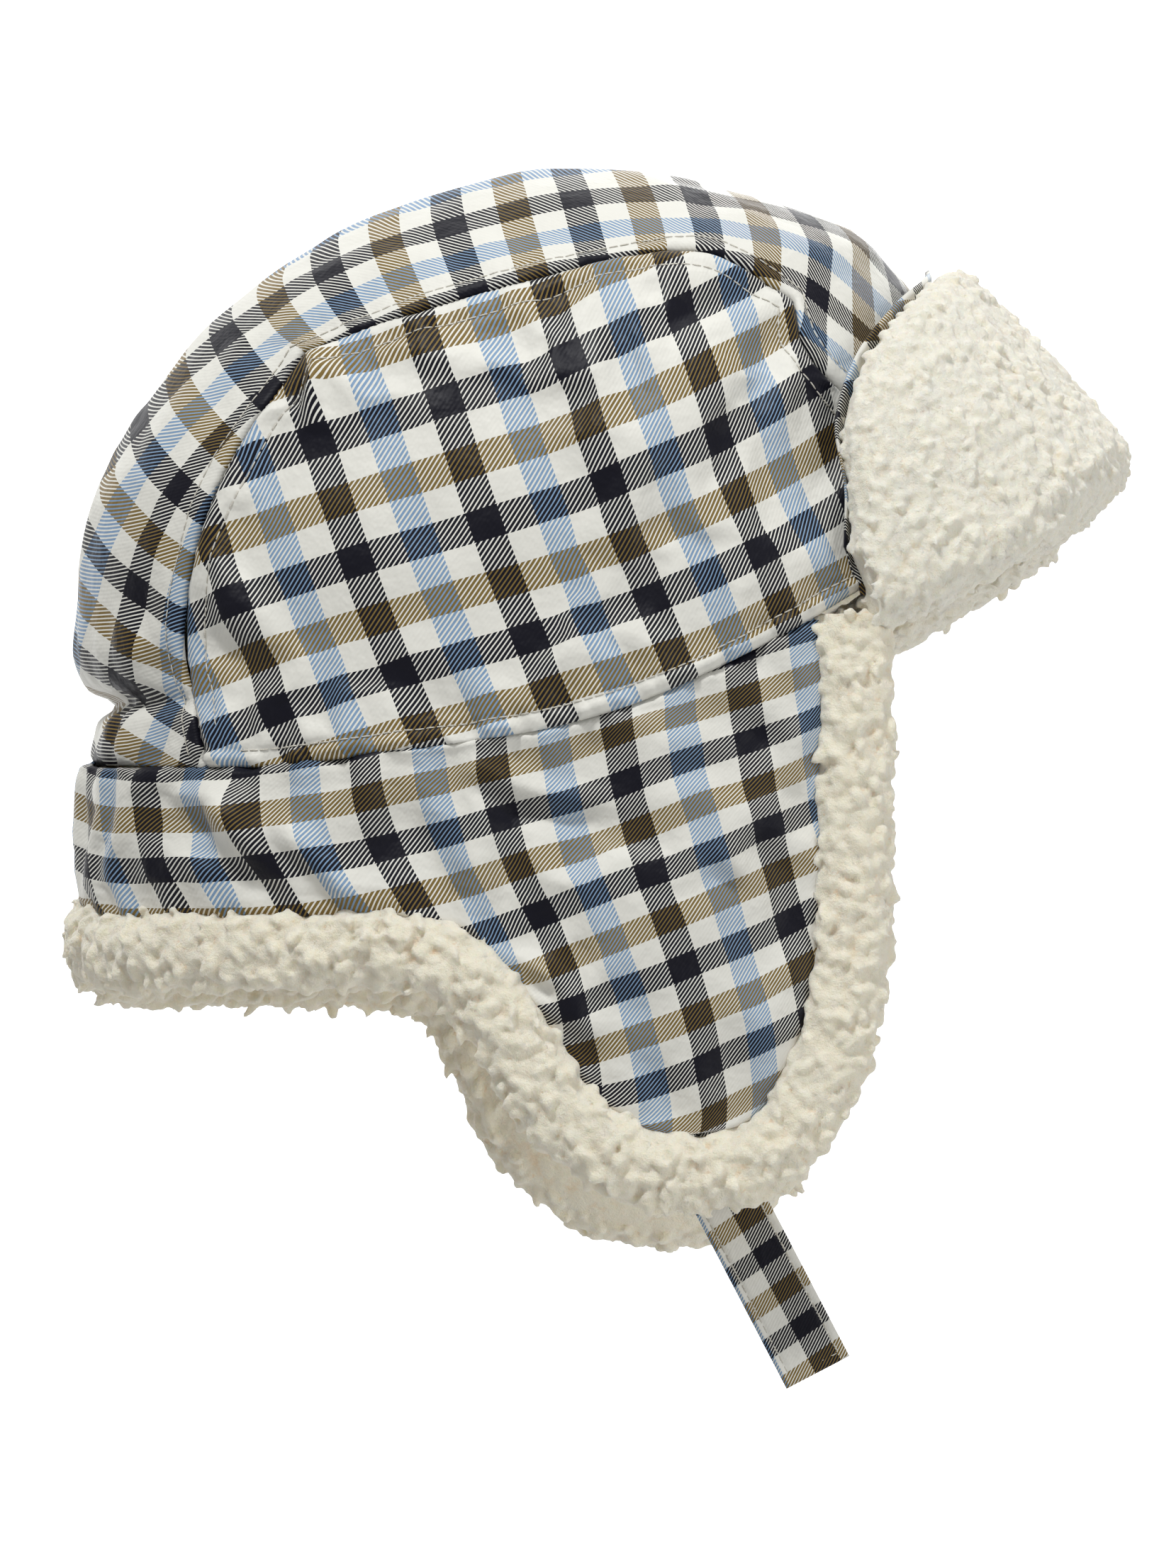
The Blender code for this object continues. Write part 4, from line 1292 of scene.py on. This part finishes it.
def strap_stitches(material):
    half = STRAP_WIDTH / 2 - STRAP_STITCH_INSET
    low = STRAP_LENGTH - STRAP_STITCH_INSET
    corners = np.array([(8.0, -half), (low, -half), (low, half), (8.0, half)])
    legs = [np.linspace(a, b, 40) for a, b in zip(corners, corners[1:])]
    path = along(np.vstack(legs), np.linspace(0, 1, 260))
    rows = []
    for face in (1, -1):
        out = np.full(len(path), face * (STRAP_THICKNESS / 2 - 0.2))
        ways = np.repeat(OUT_RIGHT[None] * face, len(path), axis=0)
        rows.append((strap_points(path[:, 0], path[:, 1], out), ways))
    return stitches(rows, "chin_strap_topstitch", material)


def hook_tape(material):
    """Moulded hooks in rows on the strap's inner face."""
    down, side = strap_grid(HOOKS_FROM, HOOKS_TO, HOOKS_HALF, (90, 44))
    edge = np.minimum(HOOKS_HALF - np.abs(side), np.minimum(down - HOOKS_FROM, HOOKS_TO - down))
    rows = np.clip(np.sin(down * HOOK_TURNS) * np.sin(side * HOOK_TURNS), 0, 1)
    hooks = 0.35 * rows * ease(edge, 0.6, 1.4)
    base = -(STRAP_THICKNESS / 2 + 0.1)
    front = strap_points(down, side, base - 0.75 * ease(edge, -0.2, 0.5) - hooks)
    back = strap_points(down, side, np.full(down.shape, base + 0.3))
    return slab_object("strap_hook_tape_moulded", front, back, material)


def loop_patch(panel, material):
    """The soft half of the fastening, sewn on the left earflap."""
    (x, z), (wide, high) = PATCH_MIDDLE, PATCH_HALF
    across, down = np.linspace(x - wide, x + wide, 46), np.linspace(z + high, z - high, 64)
    flat = np.stack(np.meshgrid(across, down, indexing="ij"), axis=-1)
    base = side_view_points(flat)
    seat, ways = panel.settle(base.reshape(-1, 3))
    edge = np.min(PATCH_HALF - np.abs(flat - PATCH_MIDDLE), axis=-1).reshape(-1)
    nap = 0.35 * curl_heights(base.reshape(-1, 3), 1.3, 5) * ease(edge, 0.8, 1.8)
    dent = 0.3 * bump(edge - 1.3, 0.5)
    lift = 0.25 + 0.9 * ease(edge, -0.2, 0.5) + nap - dent
    front = (seat + lift[:, None] * ways).reshape(base.shape) * LEFT
    back = (seat - 0.3 * ways).reshape(base.shape) * LEFT
    return slab_object("flap_loop_patch_napped", front, back, material)


def care_label(material):
    """A blank folded label sewn to the lining inside the nape."""
    stations, cells = np.linspace(0.3, 0.58, 30), 40
    half = np.stack([centre_half(station, cells) for station in stations])
    middle = both_halves(half, LEFT)[:, 30:51]
    curl = 0.8 * np.linspace(0, 1, 30)[:, None] ** 3 + 0.15 * smooth_noise(middle, 7, 3)
    front = offset(middle, -(18.6 + curl[::-1]))
    back = offset(middle, -(18.1 + curl[::-1]))
    return slab_object("care_label_folded", front, back, material)


def nape_elastic(panel, material):
    """Ribbed elastic inside the casing, gathered with it."""
    height = panel.base[:, 40, 2]
    rows = np.flatnonzero((height > -36) & (height < -24) & (np.arange(len(height)) < 60))
    patch = panel.points[rows[0] : rows[-1] + 1, 8:73]
    ways = panel.normals[rows[0] : rows[-1] + 1, 8:73]
    outer, inner = patch - 1.4 * ways, patch - 2.6 * ways
    return slab_object("nape_elastic_gathered", outer, inner, material)


def topstitching(centre, right, thread):
    """Rows on both sides of each long seam, and over the base seam."""
    rows = []
    half = centre.points.shape[1] // 2
    for columns in (slice(0, half + 1), slice(2 * half, half - 1, -1)):
        path = []
        for apart, line in zip(centre.from_seam[:, columns], centre.base[:, columns]):
            path.append([np.interp(TOPSTITCH_INSET, apart, line[:, k]) for k in range(3)])
        rows.append(centre.settle(np.array(path)[2:-2], 0.1))
    seam = along(SIDE_SEAM, np.linspace(0.03, 0.985, 420))
    heading = unit(np.gradient(seam, axis=0))
    inset = smooth_path(seam + TOPSTITCH_INSET * heading[:, ::-1] * (1, -1))
    foot = along(spline(SIDE_BASE), np.linspace(0.04, 0.95, 380))
    turn = unit(np.gradient(foot, axis=0))
    above = foot + BASE_CHANNEL * turn[:, ::-1] * (-1, 1)
    for flat in (inset, above):
        path, ways = right.settle(side_view_points(flat), 0.1)
        rows += [(path, ways), (path * LEFT, ways * LEFT)]
    return stitches(rows, "crown_topstitch", thread)


def smooth_path(path, passes=12):
    path = path.copy()
    for _ in range(passes):
        path[1:-1] = (path[:-2] + 2 * path[1:-1] + path[2:]) / 4
    return path


def shift_some(piece, axis, reach, shift):
    """Shifts a piece's points by a share that grows along an axis."""
    points = read_all(piece.data.vertices, "co") / MM
    share = ease(points @ np.array(axis, np.float32), *reach)[:, None]
    move_points(piece.data, points + share * np.array(shift))


def hang_lower(piece):
    """The left earflap hangs a little lower and further back than the right one."""
    shift_some(piece, (0, 0, -1), EARFLAP_DROP, EARFLAP_SHIFT)


def sag_left(piece):
    """The flap's left half sits slightly lower than its right half."""
    shift_some(piece, (0, 1, 0), FLAP_SAG, FLAP_SHIFT)


def bend(piece):
    """Bakes a piece's transform into its mesh."""
    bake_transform(piece)


def fold_blend(piece):
    """Bakes a piece of the earflap's cloth or pile in place, through bend."""
    bend(piece)


def flap_blend(piece):
    """Bakes a piece of the front flap in place, through bend."""
    bend(piece)


def finish_piece(piece, nodes, body=None):
    """Parents a piece to the body it rides and hides the parts it stands for; one without a body is left unparented.
    """
    if body:
        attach(piece, body)
    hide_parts(*nodes)


def flap_face(points, ways):
    """1 on the flap's outer side and rim, less on the side against the cloth."""
    away = unit(points * (1, 1, 0))
    return np.where(np.sum(away * ways, axis=1) > -0.3, 1.0, 0.2)


def outer_face(points, ways):
    """How much a spot of the pile shows from outside: curls and hairs go there."""
    return np.clip(0.35 + np.where(oval_level(points) > -0.22, 0.65, 0.0), 0, 1)


def build_hat():
    check = check_cloth("check_cloth")
    pile = curly_pile("curly_pile", PILE_ROOT_SHADE, PILE_TOP)
    border_pile = curly_pile("border_pile", BORDER_ROOT_SHADE, BORDER_TOP)
    thread = sewing_thread("cream_thread")

    centre, right, band = centre_panel(), side_panel(), band_panel()
    layers = ("shell", "wadding")
    for name, panel in (("center", centre), ("right", right), ("left", right.mirrored())):
        nodes = [f"crown_{name}_{part}" for part in layers]
        finish_piece(panel.cloth(f"crown_{name}_cloth", check), nodes, "crown")
    linings = [f"crown_{name}_lining" for name in ("center", "right", "left")]
    lining = pile_object("crown_lining_pile", crown_pile_parts(), pile, 1.8, 4.6, 3)
    finish_piece(lining, linings, "crown")

    bands = {"right": band, "left": band.mirrored()}
    for word, side in (("right", 1), ("left", -1)):
        cloth = bands[word].cloth(f"earflap_{word}_cloth", check)
        nodes = [f"{part}_{word}_{layer}" for part in ("band", "earflap") for layer in layers]
        looks = (border_pile, 1.8, 4.0, 5 + side, BORDER_LOCK, outer_face, side)
        fleece = pile_object(f"earflap_{word}_pile", band_pile_parts(), *looks)
        pile_nodes = [f"band_{word}_lining", f"earflap_{word}_lining"]
        for piece, slot, solids in ((cloth, "check_cloth", nodes), (fleece, "pile", pile_nodes)):
            if word == "left":
                hang_lower(piece)
            finish_piece(piece, solids, None)
            fold_blend(piece)

    looks = (pile, 1.4, 3.0, 9, FLAP_LOCK, flap_face)
    flap = pile_object("front_flap_fleece", flap_pile_parts(), *looks)
    sag_left(flap)
    finish_piece(flap, ["forehead_fold", "front_flap_pile", "front_flap_wadding"], None)
    flap_blend(flap)
    cloth = flap_cloth(check)
    sag_left(cloth)
    finish_piece(cloth, ["front_flap_shell"])
    flap_blend(cloth)

    finish_piece(topstitching(centre, right, thread), [], "crown")
    rib = woven_tape("elastic_rib", srgb(222, 221, 214), srgb(190, 188, 178))
    finish_piece(nape_elastic(centre, rib), ["nape_elastic"], "crown")
    strap = strap_cloth(check)
    finish_piece(strap, ["chin_strap"])
    bend(strap)
    finish_piece(strap_stitches(thread), [], "strap")
    hooks = woven_tape("hook_tape", srgb(214, 206, 190), srgb(176, 168, 150), 1400.0, 0.0003)
    finish_piece(hook_tape(hooks), ["strap_hook_tape"], "strap")
    loops = woven_tape("loop_tape", srgb(216, 209, 194), srgb(170, 162, 145), 1800.0, 0.0007)
    patch = loop_patch(band, loops)
    hang_lower(patch)
    finish_piece(patch, ["flap_loop_patch"], "earflap_left")
    label = woven_tape("label_satin", srgb(236, 234, 226), srgb(222, 219, 208), 700.0, 0.0001)
    finish_piece(care_label(label), ["care_label"], "crown")


def look_at(eye, target):
    return (Vector(target) - Vector(eye)).to_track_quat("-Z", "Y").to_euler()


def add_light(name, place, size, power):
    light = bpy.data.lights.new(name, "AREA")
    light.shape = "DISK"
    light.size = size
    light.energy = power
    made = add_object(name, light)
    made.location = place
    made.rotation_euler = look_at(place, LIT_SPOT)


VIEW_CENTRE = (-5.9, 0.0, -42.5)
VIEW_HEIGHT = 398.2  # what the frame shows at the hat's middle, top to bottom
VIEW_DISTANCE = 5.0
VIEW_TURN, VIEW_RISE = math.radians(-1.0), math.radians(-1.5)
# The floor and backdrop, in metres, far enough out for a camera 5 m away on any side.
FLOOR_HEIGHT, FLOOR_HALF = -3.6, 7
BACKDROP_PLACE, BACKDROP_TOP = 5.8, 6.0
BACKDROP_GLOW, SKY_GLOW = 1.1, 0.37

LIT_SPOT = (0, 0, -0.03)
LIGHTS = [  # name, place, size, power
    ("key", (-0.8, -1.3, 2.2), 0.4, 49.0),
    ("fill", (1.7, -1.7, -0.2), 1.8, 20.0),
    ("top", (0.3, 0.4, 2.2), 1.2, 11.0),
    ("back", (0.8, 2.3, 1.0), 1.6, 12.0),
]


def plain_surface(name, corners, glow=0.0):
    look = Shading(name, grey(0.9), 0.9)
    place = look.place()
    tone = look.ramp(look.noise(place, 3.0), [(0.0, grey(0.9)), (1.0, grey(0.93))])
    look.feed(look.shader, {"Base Color": tone})
    if glow:
        look.shader.inputs["Emission Color"].default_value = (1, 1, 1, 1)
        look.shader.inputs["Emission Strength"].default_value = glow
    data = bpy.data.meshes.new(name)
    data.from_pydata(corners, [], [(0, 1, 2, 3)])
    data.materials.append(look.material)
    add_object(name, data)


def build_studio():
    scene = bpy.context.scene
    scene.view_settings.view_transform = "Standard"
    world = bpy.data.worlds.new("studio")
    world.use_nodes = True
    world.node_tree.nodes["Background"].inputs[0].default_value = (1.0, 1.0, 1.0, 1)
    world.node_tree.nodes["Background"].inputs[1].default_value = SKY_GLOW
    scene.world = world
    half, low, far = FLOOR_HALF, FLOOR_HEIGHT, BACKDROP_PLACE
    square = ((-half, -half), (half, -half), (half, half), (-half, half))
    plain_surface("floor", [(x, y, low) for x, y in square])
    rows = ((-half, low), (half, low), (half, BACKDROP_TOP), (-half, BACKDROP_TOP))
    plain_surface("backdrop", [(x, far, z) for x, z in rows], BACKDROP_GLOW)
    for light in LIGHTS:
        add_light(*light)

    camera = bpy.data.cameras.new("camera")
    camera.sensor_fit = "VERTICAL"
    camera.sensor_height = 24.0
    camera.lens = 12.0 / (VIEW_HEIGHT * MM / 2 / VIEW_DISTANCE)
    camera.clip_end = 50
    made = add_object("camera", camera)
    target = np.array(VIEW_CENTRE) * MM
    level = math.cos(VIEW_RISE)
    away = np.array([math.sin(VIEW_TURN) * level, -math.cos(VIEW_TURN) * level, math.sin(VIEW_RISE)])
    made.location = target + VIEW_DISTANCE * away
    made.rotation_euler = look_at(made.location, target)
    scene.camera = made


build_hat()
build_studio()
